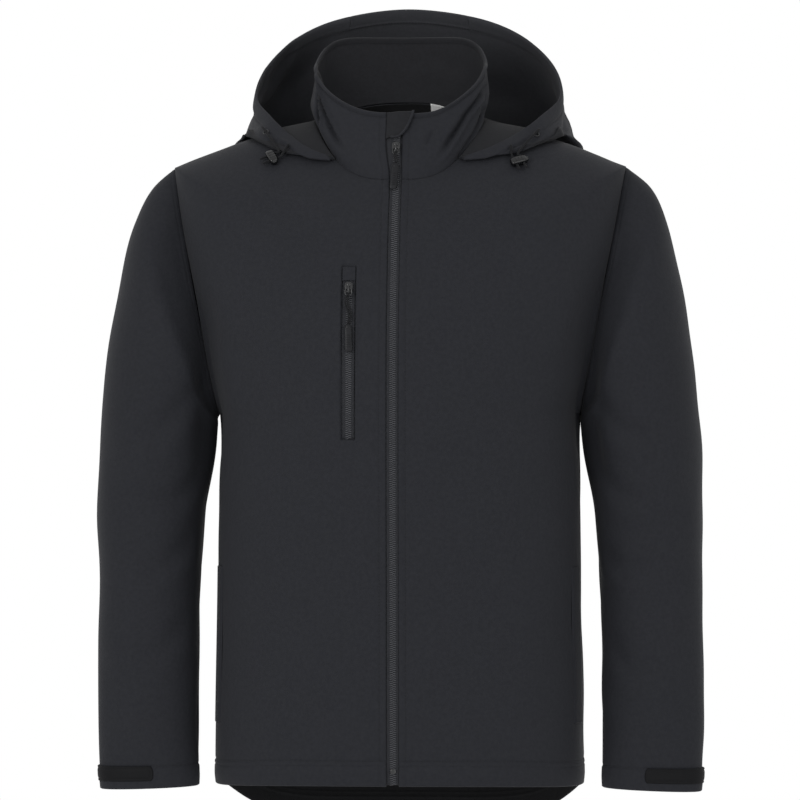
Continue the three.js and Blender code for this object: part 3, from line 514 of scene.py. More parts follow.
def resample(points, normals, pitch):
    """Middle, direction and normal of equal stretches along a line, each about one pitch long."""
    run = arc(points, 0)
    count = max(int(run[-1] / pitch), 1)
    places = (np.arange(count) + 0.5) * run[-1] / count

    def read(values, where):
        return np.stack([np.interp(where, run, values[:, c]) for c in range(3)], 1)

    mid = read(points, places)
    along = unit(read(points, places + 0.2) - mid)
    along[-1] = along[-2] if count > 1 else along[-1]
    return mid, along, unit(read(normals, places))


STITCH = {"pitch": 3.3, "length": 2.5, "width": 0.62, "height": 0.3}
STITCH_FORM = [(-0.5, 0, -0.4), (-0.3, 0.5, 0.4), (0.3, 0.5, 0.4), (0.5, 0, -0.4), (0.3, -0.5, 0.4),
               (-0.3, -0.5, 0.4), (0, 0, 1)]  # its rim and top, in shares of its size


def stitches(name, lines, size=STITCH):
    """A row of thread stitches along each line."""
    top = len(STITCH_FORM) - 1
    fan = [(k, top, (k + 1) % top) for k in range(top)]
    points, faces = [], []
    for line, normals in lines:
        mid, along, up = resample(line, normals, size["pitch"])
        aside = unit(np.cross(up, along))
        for m, t, s, n in zip(mid, along, aside, up):
            base = len(points)
            for x, y, z in STITCH_FORM:
                points.append(m + t * x * size["length"] + s * y * size["width"] + n * z * size["height"])
            faces += [tuple(base + k for k in f) for f in fan]
    return trim(name, (points, faces), THREAD)


def tube_faces(count, sides, closed=False):
    """Faces that join rings of points in a row; the ends are capped unless the row is closed."""
    faces = []
    for j in range(count if closed else count - 1):
        k = (j + 1) % count
        for i in range(sides):
            n = (i + 1) % sides
            faces.append((j * sides + i, j * sides + n, k * sides + n, k * sides + i))
    if not closed:
        faces += [tuple(range(sides))[::-1], tuple((count - 1) * sides + i for i in range(sides))]
    return faces


def sweep(points, radius, sides=10, flat=1.0, aside=X, closed=False):
    """Vertices and faces of a tube along points. flat squeezes it along its second axis."""
    points = np.asarray(points, float)
    along = unit(np.gradient(points, axis=0))
    if closed:
        along = unit(np.roll(points, -1, 0) - np.roll(points, 1, 0))
    frame_x = np.asarray(aside, float)
    rings = []
    radius = np.broadcast_to(radius, (len(points),))
    for p, t, r in zip(points, along, radius):
        frame_x = unit(frame_x - t * np.dot(frame_x, t))
        frame_y = np.cross(t, frame_x)
        turns = 2 * np.pi * np.arange(sides) / sides
        rings.append(p + r * (np.outer(np.cos(turns), frame_x) + flat * np.outer(np.sin(turns), frame_y)))
    return np.concatenate(rings), tube_faces(len(points), sides, closed)


def round_ends(points, radius, steps=5):
    """A path drawn out at both ends and the radii that close it in a round cap."""
    points = np.asarray(points, float)
    ahead, behind = unit(points[0] - points[1]), unit(points[-1] - points[-2])
    turns = np.linspace(0, QUARTER, steps)[1:]
    start = [points[0] + ahead * radius * math.sin(t) for t in turns[::-1]]
    end = [points[-1] + behind * radius * math.sin(t) for t in turns]
    caps = [max(radius * math.cos(t), 0.02) for t in turns]
    radii = caps[::-1] + [radius] * len(points) + caps
    return np.concatenate([start, points, end]), np.array(radii)


def merged(parts):
    points, faces = [], []
    for verts, polygons in parts:
        base = sum(len(p) for p in points)
        points.append(np.asarray(verts))
        faces += [tuple(base + k for k in f) for f in polygons]
    return np.concatenate(points), faces


def block(size, power_xy=4.0, power_z=4.0, sides=32, layers=12, taper=None):
    """A soft-edged block round the origin, of size (x, y, z)."""
    rings = []
    for latitude in np.linspace(-QUARTER, QUARTER, layers + 1)[1:-1]:
        level = power(math.sin(latitude), 2 / power_z)
        width = abs(math.cos(latitude)) ** (2 / power_z)
        turns = 2 * np.pi * np.arange(sides) / sides
        x = power(np.cos(turns), 2 / power_xy) * width * size[0] / 2
        y = power(np.sin(turns), 2 / power_xy) * width * size[1] / 2
        if taper is not None:
            x = x * taper(y / (size[1] / 2))
        rings.append(np.stack([x, y, 0 * x + level * size[2] / 2], 1))
    return np.concatenate(rings), tube_faces(len(rings), sides)


def placed(part, origin, x_axis=X, y_axis=Y, z_axis=Z):
    verts, faces = part
    basis = np.stack([x_axis, y_axis, z_axis])
    return np.asarray(origin) + np.asarray(verts) @ basis, faces


# Materials


def link(source, target):
    target.id_data.links.new(source, target)


def fill_in(made, values):
    for name, value in values.items():
        made.inputs[name].default_value = value


def new_material(name, colour, roughness, metallic=0.0, sheen=0.0, gloss=0.3):
    material = bpy.data.materials.new(name)
    material.use_nodes = True
    shader = material.node_tree.nodes["Principled BSDF"]
    fill_in(shader, {
        "Base Color": (*colour, 1),
        "Roughness": roughness,
        "Metallic": metallic,
        "Sheen Weight": sheen,
        "Specular IOR Level": gloss,
        "Sheen Roughness": 0.5,
    })
    return material, shader


def node(owner, kind, settings=None, **inputs):
    """A new node of a material or world; an input's name is written with _ for a space."""
    made = owner.node_tree.nodes.new(kind)
    for name, value in (settings or {}).items():
        setattr(made, name, value)
    fill_in(made, {name.replace("_", " "): value for name, value in inputs.items()})
    return made


def on_object(material):
    return node(material, "ShaderNodeTexCoord").outputs["Object"]


def mottled(material, shader, low, high, scale, vector):
    """Colour that wanders between two shades."""
    noise = node(material, "ShaderNodeTexNoise", Scale=scale, Detail=5.0, Roughness=0.6)
    ramp = node(material, "ShaderNodeValToRGB")
    for element, position, colour in zip(ramp.color_ramp.elements, (0.35, 0.65), (low, high)):
        element.position = position
        element.color = (*colour, 1)
    link(vector, noise.inputs["Vector"])
    link(noise.outputs["Fac"], ramp.inputs["Fac"])
    link(ramp.outputs["Color"], shader.inputs["Base Color"])
    return noise


def bumped(material, shader, heights, strength, distance):
    """One bump from the sum of several height outputs."""
    total = heights[0]
    for height in heights[1:]:
        add = node(material, "ShaderNodeMath", {"operation": "ADD"})
        link(total, add.inputs[0])
        link(height, add.inputs[1])
        total = add.outputs[0]
    bump = node(material, "ShaderNodeBump", Strength=strength, Distance=distance)
    link(total, bump.inputs["Height"])
    link(bump.outputs["Normal"], shader.inputs["Normal"])


def softshell(name, low, high, roughness=0.7, sheen=0.04):
    """Bonded cloth: a very fine knit face, a faint uneven tone and a soft sheen."""
    material, shader = new_material(name, high, roughness, sheen=sheen, gloss=0.1)
    place = on_object(material)
    mottled(material, shader, low, high, 260.0, place)
    knit = node(material, "ShaderNodeTexVoronoi", Scale=1500.0)
    soft = node(material, "ShaderNodeTexNoise", Scale=420.0, Detail=3.0)
    for texture in (knit, soft):
        link(place, texture.inputs["Vector"])
    bumped(material, shader, [knit.outputs["Distance"], soft.outputs["Fac"]], 0.35, 0.0003)
    return material


def painted_shade_below(material, top, bottom, share):
    """Paints shade into the tone: it falls to a share of itself between two heights, in metres."""
    shader = material.node_tree.nodes["Principled BSDF"]
    colour = shader.inputs["Base Color"].links[0].from_socket
    split = node(material, "ShaderNodeSeparateXYZ")
    fall = node(material, "ShaderNodeMapRange", From_Min=bottom, From_Max=top, To_Min=share)
    tone = node(material, "ShaderNodeHueSaturation")
    link(on_object(material), split.inputs["Vector"])
    link(split.outputs["Z"], fall.inputs["Value"])
    link(fall.outputs["Result"], tone.inputs["Value"])
    link(colour, tone.inputs["Color"])
    link(tone.outputs["Color"], shader.inputs["Base Color"])


def plastic(name, colour, roughness, scale=900.0, gloss=0.3):
    """Moulded or coated hard parts: a fine grain in the bump and a little wear in the gloss."""
    material, shader = new_material(name, colour, roughness, gloss=gloss)
    place = on_object(material)
    noise = mottled(material, shader, [c * 0.8 for c in colour], colour, scale / 4, place)
    wear = node(material, "ShaderNodeMapRange", To_Min=roughness - 0.08, To_Max=roughness + 0.1)
    link(noise.outputs["Fac"], wear.inputs["Value"])
    link(wear.outputs["Result"], shader.inputs["Roughness"])
    grain = node(material, "ShaderNodeTexNoise", Scale=scale, Detail=4.0)
    link(place, grain.inputs["Vector"])
    bumped(material, shader, [grain.outputs["Fac"]], 0.2, 0.0002)
    return material


def woven(name, low, high, scale, roughness=0.8):
    """Tape, cord and label: crossed ribs of a plain weave."""
    material, shader = new_material(name, high, roughness, sheen=0.04, gloss=0.15)
    place = on_object(material)
    mottled(material, shader, low, high, scale / 3, place)
    ribs = []
    for direction in ("X", "Z"):
        turned = {"bands_direction": direction}
        wave = node(material, "ShaderNodeTexWave", turned, Scale=scale, Distortion=0.6)
        link(place, wave.inputs["Vector"])
        ribs.append(wave.outputs["Fac"])
    bumped(material, shader, ribs, 0.4, 0.0002)
    return material


SHELL = softshell("softshell", (0.0150, 0.0158, 0.0193), (0.0182, 0.0191, 0.0230))
INNER = softshell("inner_face", (0.0088, 0.0089, 0.0096), (0.0108, 0.0109, 0.0117), 0.9, 0.05)
# The hood's inside is the shell cloth in a lighter tone, painted light for the deep hood; below, painted
# shade darkens it towards the neck.
HOOD_INSIDE_PAINTED_LIGHT_AND_SHADE = softshell("hood_inside", (0.0300, 0.0309, 0.0348), (0.0345, 0.0355, 0.0400), 0.72)
# Painted shade: the hood's inside grows darker towards the neck.
painted_shade_below(HOOD_INSIDE_PAINTED_LIGHT_AND_SHADE, 0.062, 0.03, 0.45)
# The shell cloth in a darker tone: painted shade on the collar's inside and on the chin guard.
SHELL_IN_PAINTED_SHADE = softshell("facing", (0.0128, 0.0131, 0.0150), (0.0152, 0.0156, 0.0180), 0.75)
THREAD = woven("thread", (0.010, 0.0104, 0.0124), (0.015, 0.0156, 0.0182), 2400.0, 0.6)
TAPE_FINISH = woven("zip_tape", (0.019, 0.0197, 0.023), (0.026, 0.027, 0.031), 1800.0)
COIL_FINISH = plastic("zip_coil", (0.075, 0.077, 0.085), 0.35)
METAL = plastic("dark_metal", (0.013, 0.0135, 0.015), 0.2, gloss=0.6)
RUBBER = plastic("moulded_rubber", (0.0120, 0.0125, 0.0145), 0.36, gloss=0.16)
GLOSSY = plastic("glossy_black", (0.0050, 0.0052, 0.0060), 0.12, gloss=0.45)
CORD_CLOTH = woven("cord", (0.0060, 0.0062, 0.0072), (0.0110, 0.0114, 0.0130), 2600.0)
TAB_CLOTH = plastic("cuff_tab", (0.0070, 0.0071, 0.0080), 0.6, 500.0, gloss=0.1)
WHITE = woven("label", (0.80, 0.80, 0.785), (0.88, 0.88, 0.865), 2000.0)


def dress(piece, node_name, slot, **cut):
    """Hides the solid that a piece stands for; its slot and cut are not used."""
    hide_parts(node_name)
    return piece


def rolled(distance, thick, middle, half):
    """Extra half thickness of a rolled edge, round in section."""
    return thick * np.sqrt(np.clip(1 - ((distance - middle) / half) ** 2, 0, 1))


def puff(distance, height=0.8, width=2.4):
    """Cloth swelling up from a seam."""
    return height * (1 - np.exp(-((distance / width) ** 2)))


# Camera first, at the photograph's angle

AIM = Vector((0, 0, -0.272))
AZIMUTH = math.radians(3.2)
DISTANCE = 5.0
LENS = 206.4
camera = in_scene("camera", bpy.data.cameras.new("camera"))
camera.location = AIM + Vector((math.sin(AZIMUTH), -math.cos(AZIMUTH), 0)) * DISTANCE
camera.rotation_euler = (QUARTER, 0, AZIMUTH)
camera.data.sensor_width = 36
camera.data.lens = LENS
bpy.context.scene.camera = camera


# Fronts and back. A groove is a width and a depth; one of negative depth is a low swelling.

HEM_LINES = (21.5, 27)
HEM_GROOVE = 1.3, 0.7
HEM_SWELL = 10, 8, -0.5
TOPSTITCH = 7.5  # from the zip edge of a front
TOPSTITCH_GROOVE = 1.1, 0.45
ZIP_EDGE_SWELL = 3.2, 2.2, -0.5
POCKET_SUNK = 3.6
POCKET_LIP = 2.2, 1.4, -0.45
# Stretches of the right front that hold the pocket's edges, from the zip and from the hem
POCKET_ACROSS, POCKET_UP = [(31, 51)], [(363, 375), (545, 562)]
FRONT_CREASES_LEFT = [
    (5.5, 15, 216, -110, 206, -190, 196, -270, 195, -360),
    (1.5, 13, 206, -165, 188, -225, 150, -262),
    (1.4, 16, 200, -250, 172, -286, 120, -300),
    (1.5, 24, 196, -330, 150, -392, 118, -470),
    (1.6, 22, 190, -470, 160, -540, 166, -640),
    (1.1, 30, 95, -410, 80, -520, 92, -640),
    (1.2, 16, 150, -40, 110, -78, 60, -96),
    (0.8, 28, 40, -180, 70, -250, 66, -330),
]
FRONT_CREASES_RIGHT = [
    (4.0, 14, -216, -130, -206, -190, -197, -270, -195, -350),
    (1.5, 14, -212, -150, -190, -205, -138, -236),
    (1.3, 16, -202, -262, -168, -300, -120, -318),
    (1.6, 22, -196, -350, -160, -420, -150, -520),
    (1.4, 20, -186, -500, -158, -580, -168, -660),
    (1.1, 28, -92, -380, -104, -480, -84, -600),
    (1.2, 15, -142, -46, -104, -84, -64, -100),
    (0.7, 30, -70, -330, -52, -410, -60, -520),
]
BACK_CREASES = [
    (3.2, 15, -228, -120, -190, -190, -130, -236),
    (3.0, 14, 232, -112, 196, -176, 140, -214),
    (2.6, 17, -206, -230, -160, -282, -90, -300),
    (2.8, 18, 208, -218, 150, -268, 84, -292),
    (1.6, 26, -60, -190, -74, -300, -56, -420),
    (1.6, 28, 70, -210, 86, -320, 70, -440),
    (2.6, 17, -186, -420, -110, -462, -30, -470),
    (2.4, 18, 188, -440, 120, -488, 40, -492),
    (1.8, 22, -170, -520, -120, -600, -128, -690),
    (1.8, 24, 166, -540, 112, -610, 124, -700),
    (1.4, 26, 0, -480, -14, -590, 4, -700),
]


def pocket_hollow(x, z):
    """The chest pocket's opening, sunk, with a low lip round it."""
    dx = np.abs(x - POCKET["x"]) - POCKET["half"]
    dz = np.maximum(POCKET["low"] - z, z - POCKET["high"])
    off = np.where((dx > 0) & (dz > 0), np.hypot(dx, dz), np.maximum(dx, dz))
    return trough(off, *POCKET_LIP) - POCKET_SUNK * smooth((0.7 - off) / 1.2)


def hem_grooves(distance):
    return sum(trough(distance, place, *HEM_GROOVE) for place in HEM_LINES)


def hem_roll(distance, line):
    """Extra half thickness of the folded cloth between an edge and its stitch line."""
    return 0.7 * smooth((line - distance) / 3)


def front(side):
    """The grid of one front and its extra half thickness."""
    def point(a, b):
        ring = body_ring(b * NECK, False)
        return ring_point(ring, lerp(turn_at(ring, ZIP_EDGE), ring["edge"], a))

    fine_a = [(0, 11), (-9, 0)]
    fine_b = [(0, 30), (-10, 0)]
    if side < 0:
        fine_a += POCKET_ACROSS
        fine_b += POCKET_UP
    grid = Grid(point, fine_a=fine_a, fine_b=fine_b).on_side(side)
    x, z = grid.p[..., 0], grid.p[..., 2]
    grid.lift += puff(grid.last) * 0.5 + puff(grid.high) * 0.4
    rows = FRONT_CREASES_LEFT if side > 0 else FRONT_CREASES_RIGHT
    grid.lift += creases(x, z, rows) * smooth(grid.first / 40) * smooth(grid.last / 14)
    grid.lift += waves(x, z, 1.3, 5 + side) * smooth(grid.low / 60) * smooth(grid.first / 30)
    grid.lift += trough(grid.first, TOPSTITCH, *TOPSTITCH_GROOVE) + trough(grid.first, *ZIP_EDGE_SWELL)
    grid.lift += hem_grooves(grid.low) + trough(grid.low, *HEM_SWELL)
    if side < 0:
        grid.lift += pocket_hollow(x, z)
    hem = hem_roll(grid.low, HEM_LINES[1]) + 0.25 * smooth((3 - grid.first) / 2)
    return grid, hem


def back():
    def point(a, b):
        ring = body_ring(b * NECK, True)
        return ring_point(ring, np.pi + (1 - 2 * a) * ring["edge"])

    grid = Grid(point, facing=-1, fine_a=[(0, 9), (-9, 0)], fine_b=[(0, 30), (-8, 0)], at_a=0.5)
    x, z = grid.p[..., 0], grid.p[..., 2]
    grid.lift += puff(np.minimum(grid.first, grid.last)) * 0.5 + puff(grid.high) * 0.4
    grid.lift += creases(x, z, BACK_CREASES) * smooth(np.minimum(grid.first, grid.last) / 14)
    grid.lift += waves(x, z, 2.2, 11) * smooth(grid.low / 60)
    grid.lift += hem_grooves(grid.low)
    return grid, hem_roll(grid.low, HEM_LINES[1])


for name, side in SIDES.items():
    grid, hem = front(side)
    piece = shell(f"front_{name}_cloth", grid, SHELL, "low first last", hem, inside=INNER)
    lines = [grid.line("low", place) for place in HEM_LINES]
    lines += [grid.line("first", TOPSTITCH)]
    thread = stitches(f"front_{name}_stitching", lines)
    dress(piece, f"front_{name}", "cloth", flat=(0.27, 0.76), area=0.19, with_pieces=[thread])

back_grid, back_hem = back()
back_piece = shell("back_cloth", back_grid, SHELL, "low first last", back_hem, inside=INNER)
back_thread = stitches("back_stitching", [back_grid.line("low", place) for place in HEM_LINES])
dress(back_piece, "back", "cloth", flat=(0.54, 0.84), area=0.42, with_pieces=[back_thread])


# Sleeves and cuff tabs. u is the turn round the sleeve in degrees from its outer line, forwards.

SLEEVE_CREASES_LEFT = [
    (7.0, 17, 122, -150, 136, -230, 150, -320, 152, -400),
    (2.2, 9, 58, -66, 70, -110, 96, -150),
    (1.6, 9, 20, -52, 52, -96, 84, -122),
    (2.8, 12, 150, -250, 112, -300, 70, -322),
    (2.6, 11, 158, -330, 118, -372, 76, -384),
    (2.8, 11, 160, -430, 120, -452, 84, -448),
    (1.5, 16, 26, -330, 60, -392, 98, -420),
    (1.7, 12, 152, -520, 118, -560, 80, -570),
    (1.3, 18, 30, -480, 56, -560, 44, -640),
    (3.0, 14, -150, -300, -104, -352, -60, -372),
    (2.8, 13, -156, -400, -110, -446, -70, -452),
    (2.4, 16, -140, -150, -100, -212, -72, -280),
    (1.8, 16, -120, -520, -84, -570, -60, -640),
]
SLEEVE_CREASES_RIGHT = [
    (5.0, 16, 126, -160, 138, -230, 150, -320, 152, -390),
    (2.0, 10, 54, -74, 74, -128, 100, -176),
    (2.6, 13, 146, -236, 108, -290, 72, -330),
    (2.4, 12, 158, -344, 120, -380, 80, -386),
    (2.6, 12, 158, -410, 116, -446, 78, -462),
    (1.5, 16, 30, -300, 64, -372, 104, -396),
    (1.8, 13, 150, -500, 112, -540, 74, -560),
    (1.3, 18, 24, -520, 52, -590, 36, -660),
    (2.8, 14, -148, -290, -100, -340, -64, -352),
    (3.0, 13, -152, -390, -112, -430, -64, -446),
    (2.4, 16, -136, -140, -104, -200, -70, -262),
    (1.8, 16, -124, -540, -88, -590, -58, -650),
]
CUFF_LINE = 24
CUFF_GROOVE = 1.3, 0.5
CUFF_SWELL = 11, 9, -0.5
CAP_LINE = 6.5
CAP_GROOVE = 1.2, 0.3


def sleeve(side):
    def point(a, b):
        p = sleeve_point(b * SLEEVE_END, 2 * np.pi * a)
        p[..., 0] += side * np.interp(p[..., 2], *SLEEVE_SHIFT[side]) * smooth(b * 8)
        return p

    grid = Grid(point, fine_b=[(0, 12), (-28, 0)], at_a=0, loop=True).on_side(side)
    turn = (np.degrees(2 * np.pi * grid.u) + 180) % 360 - 180
    z = grid.p[..., 2]
    grid.lift += puff(grid.low, 0.5, 3.2)
    grid.lift += trough(grid.low, CAP_LINE, *CAP_GROOVE)
    rows = SLEEVE_CREASES_LEFT if side > 0 else SLEEVE_CREASES_RIGHT
    grid.lift += creases(turn, z, rows) * smooth(grid.high / 50) * smooth(grid.low / 14)
    grid.lift += waves(turn * 0.9, z, 1.8, 23 + side) * smooth(grid.high / 60) * smooth(grid.low / 40)
    grid.lift += trough(grid.high, CUFF_LINE, *CUFF_GROOVE) + trough(grid.high, *CUFF_SWELL)
    return grid, hem_roll(grid.high, CUFF_LINE)


TAB = {"from": -75, "to": 97, "low": 11.68, "high": 11.12, "lift": 1.4, "thick": 1.6, "nose": 2.5}
TAB_GROOVE, TAB_SWELL = (2.6, 0.8, 0.5), 0.25


def cuff_tab(side):
    def point(a, b):
        end = TAB["to"] - TAB["nose"] * np.abs(2 * b - 1) ** 3
        p = sleeve_point(lerp(TAB["high"], TAB["low"], b), np.radians(lerp(TAB["from"], end, a)))
        p[..., 0] += side * np.interp(p[..., 2], *SLEEVE_SHIFT[side])
        return p

    grid = Grid(point, fine_a=[(0, 4), (-16, 0)], fine_b=[(0, 30)]).on_side(side)
    grid.lift += TAB["lift"] + TAB["thick"]
    grid.lift += trough(grid.inset, *TAB_GROOVE) + TAB_SWELL * smooth((grid.inset - 4) / 1.5)
    return grid


for name, side in SIDES.items():
    grid, cuff = sleeve(side)
    piece = shell(f"sleeve_{name}_cloth", grid, SHELL, roll=cuff, inside=INNER)
    lines = [grid.line("high", CUFF_LINE), grid.line("low", CAP_LINE)]
    thread = stitches(f"sleeve_{name}_stitching", lines)
    dress(piece, f"sleeve_{name}", "cloth", flat=(0.50, 0.70), area=0.245, with_pieces=[thread])
    grid = cuff_tab(side)
    tab = shell(f"cuff_tab_{name}_shape", grid, TAB_CLOTH, thick=TAB["thick"])
    dress(tab, f"cuff_tab_{name}", "cloth")


# Collar and chin guard

COLLAR_LONG, COLLAR_HIGH = 560, 78
COLLAR_DIP = 2.4  # the top edge stands this much lower beside the zip, on the wearer's left
DIP_AT, DIP_WIDE = 24, 17  # degrees round the neck
COLLAR_ROLL = 1.5, 2.2, 2.6
COLLAR_LINE, COLLAR_GROOVE = 5.6, (1.3, 1.0)
COLLAR_END_LINE, COLLAR_END_GROOVE = 7, (1.1, 0.4)
# In millimetres round the collar from the middle of the back, and up from the neck seam
COLLAR_CREASES = [
    (9.0, 3.4, 158, 82, 178, 60, 198, 44, 240, 18),
    (7.5, 3.6, 172, 58, 186, 36, 192, 12),
    (9.5, 4.0, -142, 46, -174, 48, -206, 46, -230, 32, -250, 14),
    (6.5, 4.2, -152, 20, -184, 16, -218, 4),
    (4.0, 3.2, -249, 54, -257, 32),
    (1.6, 8, -60, 20, -30, 34, 6, 30),
]


def collar():
    def point(a, b):
        row = b * COLLAR_TOP
        ring = blend(COLLAR, row)
        start = turn_at(ring, ZIP_EDGE)
        end = 2 * np.pi - turn_at(ring, ZIP_EDGE + COLLAR_FLARE * smooth(b * 2))
        turn = lerp(start, end, a)
        p = collar_point(turn, row)
        p[..., 2] -= COLLAR_DIP * b * np.exp(-(((np.degrees(turn) - DIP_AT) / DIP_WIDE) ** 2))
        return p

    grid = Grid(point, fine_a=[(0, 10), (-10, 0)], fine_b=[(0, 6), (-14, 0)], at_a=0.25)
    around = (grid.u - 0.5) * COLLAR_LONG
    up = grid.v * COLLAR_HIGH
    grid.lift += puff(grid.low, 0.35, 2.6)
    grid.lift += waves(around, up * 1.6, 1.1, 31) * smooth(grid.high / 25)
    grid.lift += creases(around, up, COLLAR_CREASES)
    grid.lift += trough(grid.high, COLLAR_LINE, *COLLAR_GROOVE)
    grid.lift += trough(np.minimum(grid.first, grid.last), COLLAR_END_LINE, *COLLAR_END_GROOVE)
    return grid, rolled(grid.high, *COLLAR_ROLL)


collar_grid, collar_roll = collar()
collar_piece = shell("collar_cloth", collar_grid, SHELL, "high first last", collar_roll, inside=SHELL_IN_PAINTED_SHADE)
collar_thread = stitches("collar_stitching", [
    collar_grid.line("high", COLLAR_LINE),
    collar_grid.line("first", COLLAR_END_LINE, stop=0.93),
    collar_grid.line("last", COLLAR_END_LINE, stop=0.93),
])
dress(collar_piece, "collar", "cloth", flat=(0.57, 0.09), with_pieces=[collar_thread])

GUARD = {"row": 2.16, "start": -11.2, "low": -4, "high": 19, "thick": 1.4, "proud": 1.9, "lie": 0.8}
BINDING = {"at": 1.5, "radius": 1.9, "flat": 0.6, "sunk": 0.2, "swell": 0.8, "line": 4.4}


def chin_guard():
    def point(a, b):
        row = lerp(GUARD["row"], COLLAR_TOP, b)
        end = lerp(GUARD["low"], GUARD["high"], b ** (1 / 3))
        x = lerp(GUARD["start"], end, a)
        ring = blend(COLLAR, row)
        return collar_point(turn_at(ring, np.abs(x)) * np.sign(x), row)

    grid = Grid(point, fine_a=[(0, 40)], fine_b=[(0, 40)])
    on_top = smooth(grid.u * 2)
    binding = np.exp(-((np.minimum(grid.last, grid.low + 3 * (grid.u < 0.3)) - 1.6) / 1.5) ** 2)
    grid.lift += GUARD["lie"] + GUARD["thick"] + 0.8 * on_top - GUARD["proud"] * (1 - on_top)
    grid.lift += BINDING["swell"] * binding
    return grid, 0.2 * binding


guard_grid, guard_roll = chin_guard()
guard = shell("chin_guard_cloth", guard_grid, SHELL_IN_PAINTED_SHADE, roll=guard_roll, thick=GUARD["thick"])
bound, bound_normals = guard_grid.line("last", BINDING["at"])
bound = bound - BINDING["sunk"] * bound_normals
trim("chin_guard_binding", sweep(bound, BINDING["radius"], 12, BINDING["flat"]), SHELL)
stitches("chin_guard_stitching", [guard_grid.line("last", BINDING["line"])])
dress(guard, "chin_guard", "cloth")


# Hood. Creases are placed in millimetres round it from the middle of the back, and out from the neck.

AROUND, OUT = 1120, 330
HOOD_CREASES = [
    (3.2, 11, 60, 312, 120, 268, 168, 262),
    (3.0, 10, 128, 322, 176, 284, 214, 282),
    (2.6, 9, 196, 318, 226, 290, 262, 292),
    (2.2, 10, 250, 306, 300, 282, 346, 290),
    (3.4, 14, 150, 232, 210, 226, 262, 246),
    (2.2, 13, -70, 300, -126, 272, -190, 278),
    (2.8, 12, -190, 306, -236, 270, -290, 268),
    (2.8, 11, -260, 300, -300, 262, -352, 262),
    (3.2, 14, -150, 226, -220, 222, -280, 240),
    (3.4, 16, -40, 222, 0, 208, 52, 220),
    (1.8, 10, -380, 246, -420, 268, -470, 262),
    (1.8, 10, 372, 250, 424, 266, 474, 258),
    (6.5, 15, -240, 90, -285, 150, -330, 226),
    (6.5, 15, 240, 90, 285, 150, 330, 226),
]
RIM_ROLL = 1.0, 7, 8
RIM_LINE, RIM_GROOVE = 15, (1.4, 0.9)
SEAM_LINE, SEAM_PUFF = 4.5, (0.4, 2.6)
UNDER_FACE = 1.7  # from the outer face to the thread on the inner face


def hood_panel(start, stop, seams):
    def point(a, b):
        return hood_point(lerp(start, stop, a), b)

    fine_a = [(0, 6)] * ("first" in seams) + [(-6, 0)] * ("last" in seams)
    grid = Grid(point, fine_a=fine_a, fine_b=[(-19, 0)], at_a=0.5, at_b=0.85)
    around = (lerp(start, stop, grid.u) - 0.5) * AROUND
    out = grid.v * OUT
    for edge in seams:
        grid.lift += puff(getattr(grid, edge), *SEAM_PUFF) - SEAM_PUFF[0]
    grid.lift += creases(around, out, HOOD_CREASES) * smooth((grid.v - 0.15) * 4)
    grid.lift += waves(around, out, 2.2, 41) * smooth((grid.v - 0.4) * 5) * smooth(grid.high / 30)
    grid.lift += trough(grid.high, RIM_LINE, *RIM_GROOVE)
    return grid, rolled(grid.high, *RIM_ROLL)


SEAM_A = (HOOD_SIDES - HOOD_CENTRE) / (2 * HOOD_SIDES)
LAP = 0.5 / AROUND  # how far each panel passes the seam line, so that no light comes through
HOOD_PARTS = {
    "hood_left": (0, SEAM_A + LAP, ("last",), (0.38, 0.26), 0.068),
    "hood_centre": (SEAM_A - LAP, 1 - SEAM_A + LAP, ("first", "last"), (0.20, 0.36), 0.058),
    "hood_right": (1 - SEAM_A - LAP, 1, ("first",), (0.38, 0.26), 0.068),
}
for name, (start, stop, seams, flat, area) in HOOD_PARTS.items():
    grid, roll = hood_panel(start, stop, seams)
    piece = shell(f"{name}_cloth", grid, SHELL, "low high " + " ".join(seams), roll, inside=HOOD_INSIDE_PAINTED_LIGHT_AND_SHADE)
    rim, rim_normal = grid.line("high", RIM_LINE)
    under = (rim - UNDER_FACE * rim_normal, -rim_normal)
    lines = [(rim, rim_normal), under] + [grid.line(edge, SEAM_LINE) for edge in seams]
    thread = stitches(f"{name}_stitching", lines)
    dress(piece, name, "cloth", flat=flat, area=area, with_pieces=[thread])


# Zips: a tape with a woven face and a coil of close teeth down its middle


def on_zip(x, place):
    ring = body_ring(np.minimum(place, NECK), False)
    above = blend(COLLAR, np.maximum(place - NECK, 0))
    turn = turn_at(ring, np.abs(x)) * np.sign(x)
    upper = turn_at(above, np.abs(x)) * np.sign(x)
    on_collar = (place > NECK)[..., None]
    return np.where(on_collar, ring_point(above, upper), ring_point(ring, turn))


COIL = {"pitch": 1.15, "half": 2.8, "up": 0.35}
TAPE = {"thick": 1.2, "drop": 0.25, "rise": 0.4, "rise_wide": 1.6, "step": 0.8, "under": 0.7}


def teeth(name, line, normals, width):
    """Two interlocking rows of coil turns along a line."""
    mid, along, up = resample(line, normals, COIL["pitch"])
    aside = unit(np.cross(along, up))
    bar = block((width, 0.8, 0.95), 2.6, 2.4, 8, 6)
    parts = []
    for k, (m, t, s, n) in enumerate(zip(mid, along, aside, up)):
        hand = 1 if k % 2 else -1
        lean = unit(t + 0.16 * hand * s)
        parts.append(placed(bar, m + s * hand * width * 0.36, unit(s - 0.16 * hand * t), lean, n))
    return trim(name, merged(parts), COIL_FINISH)


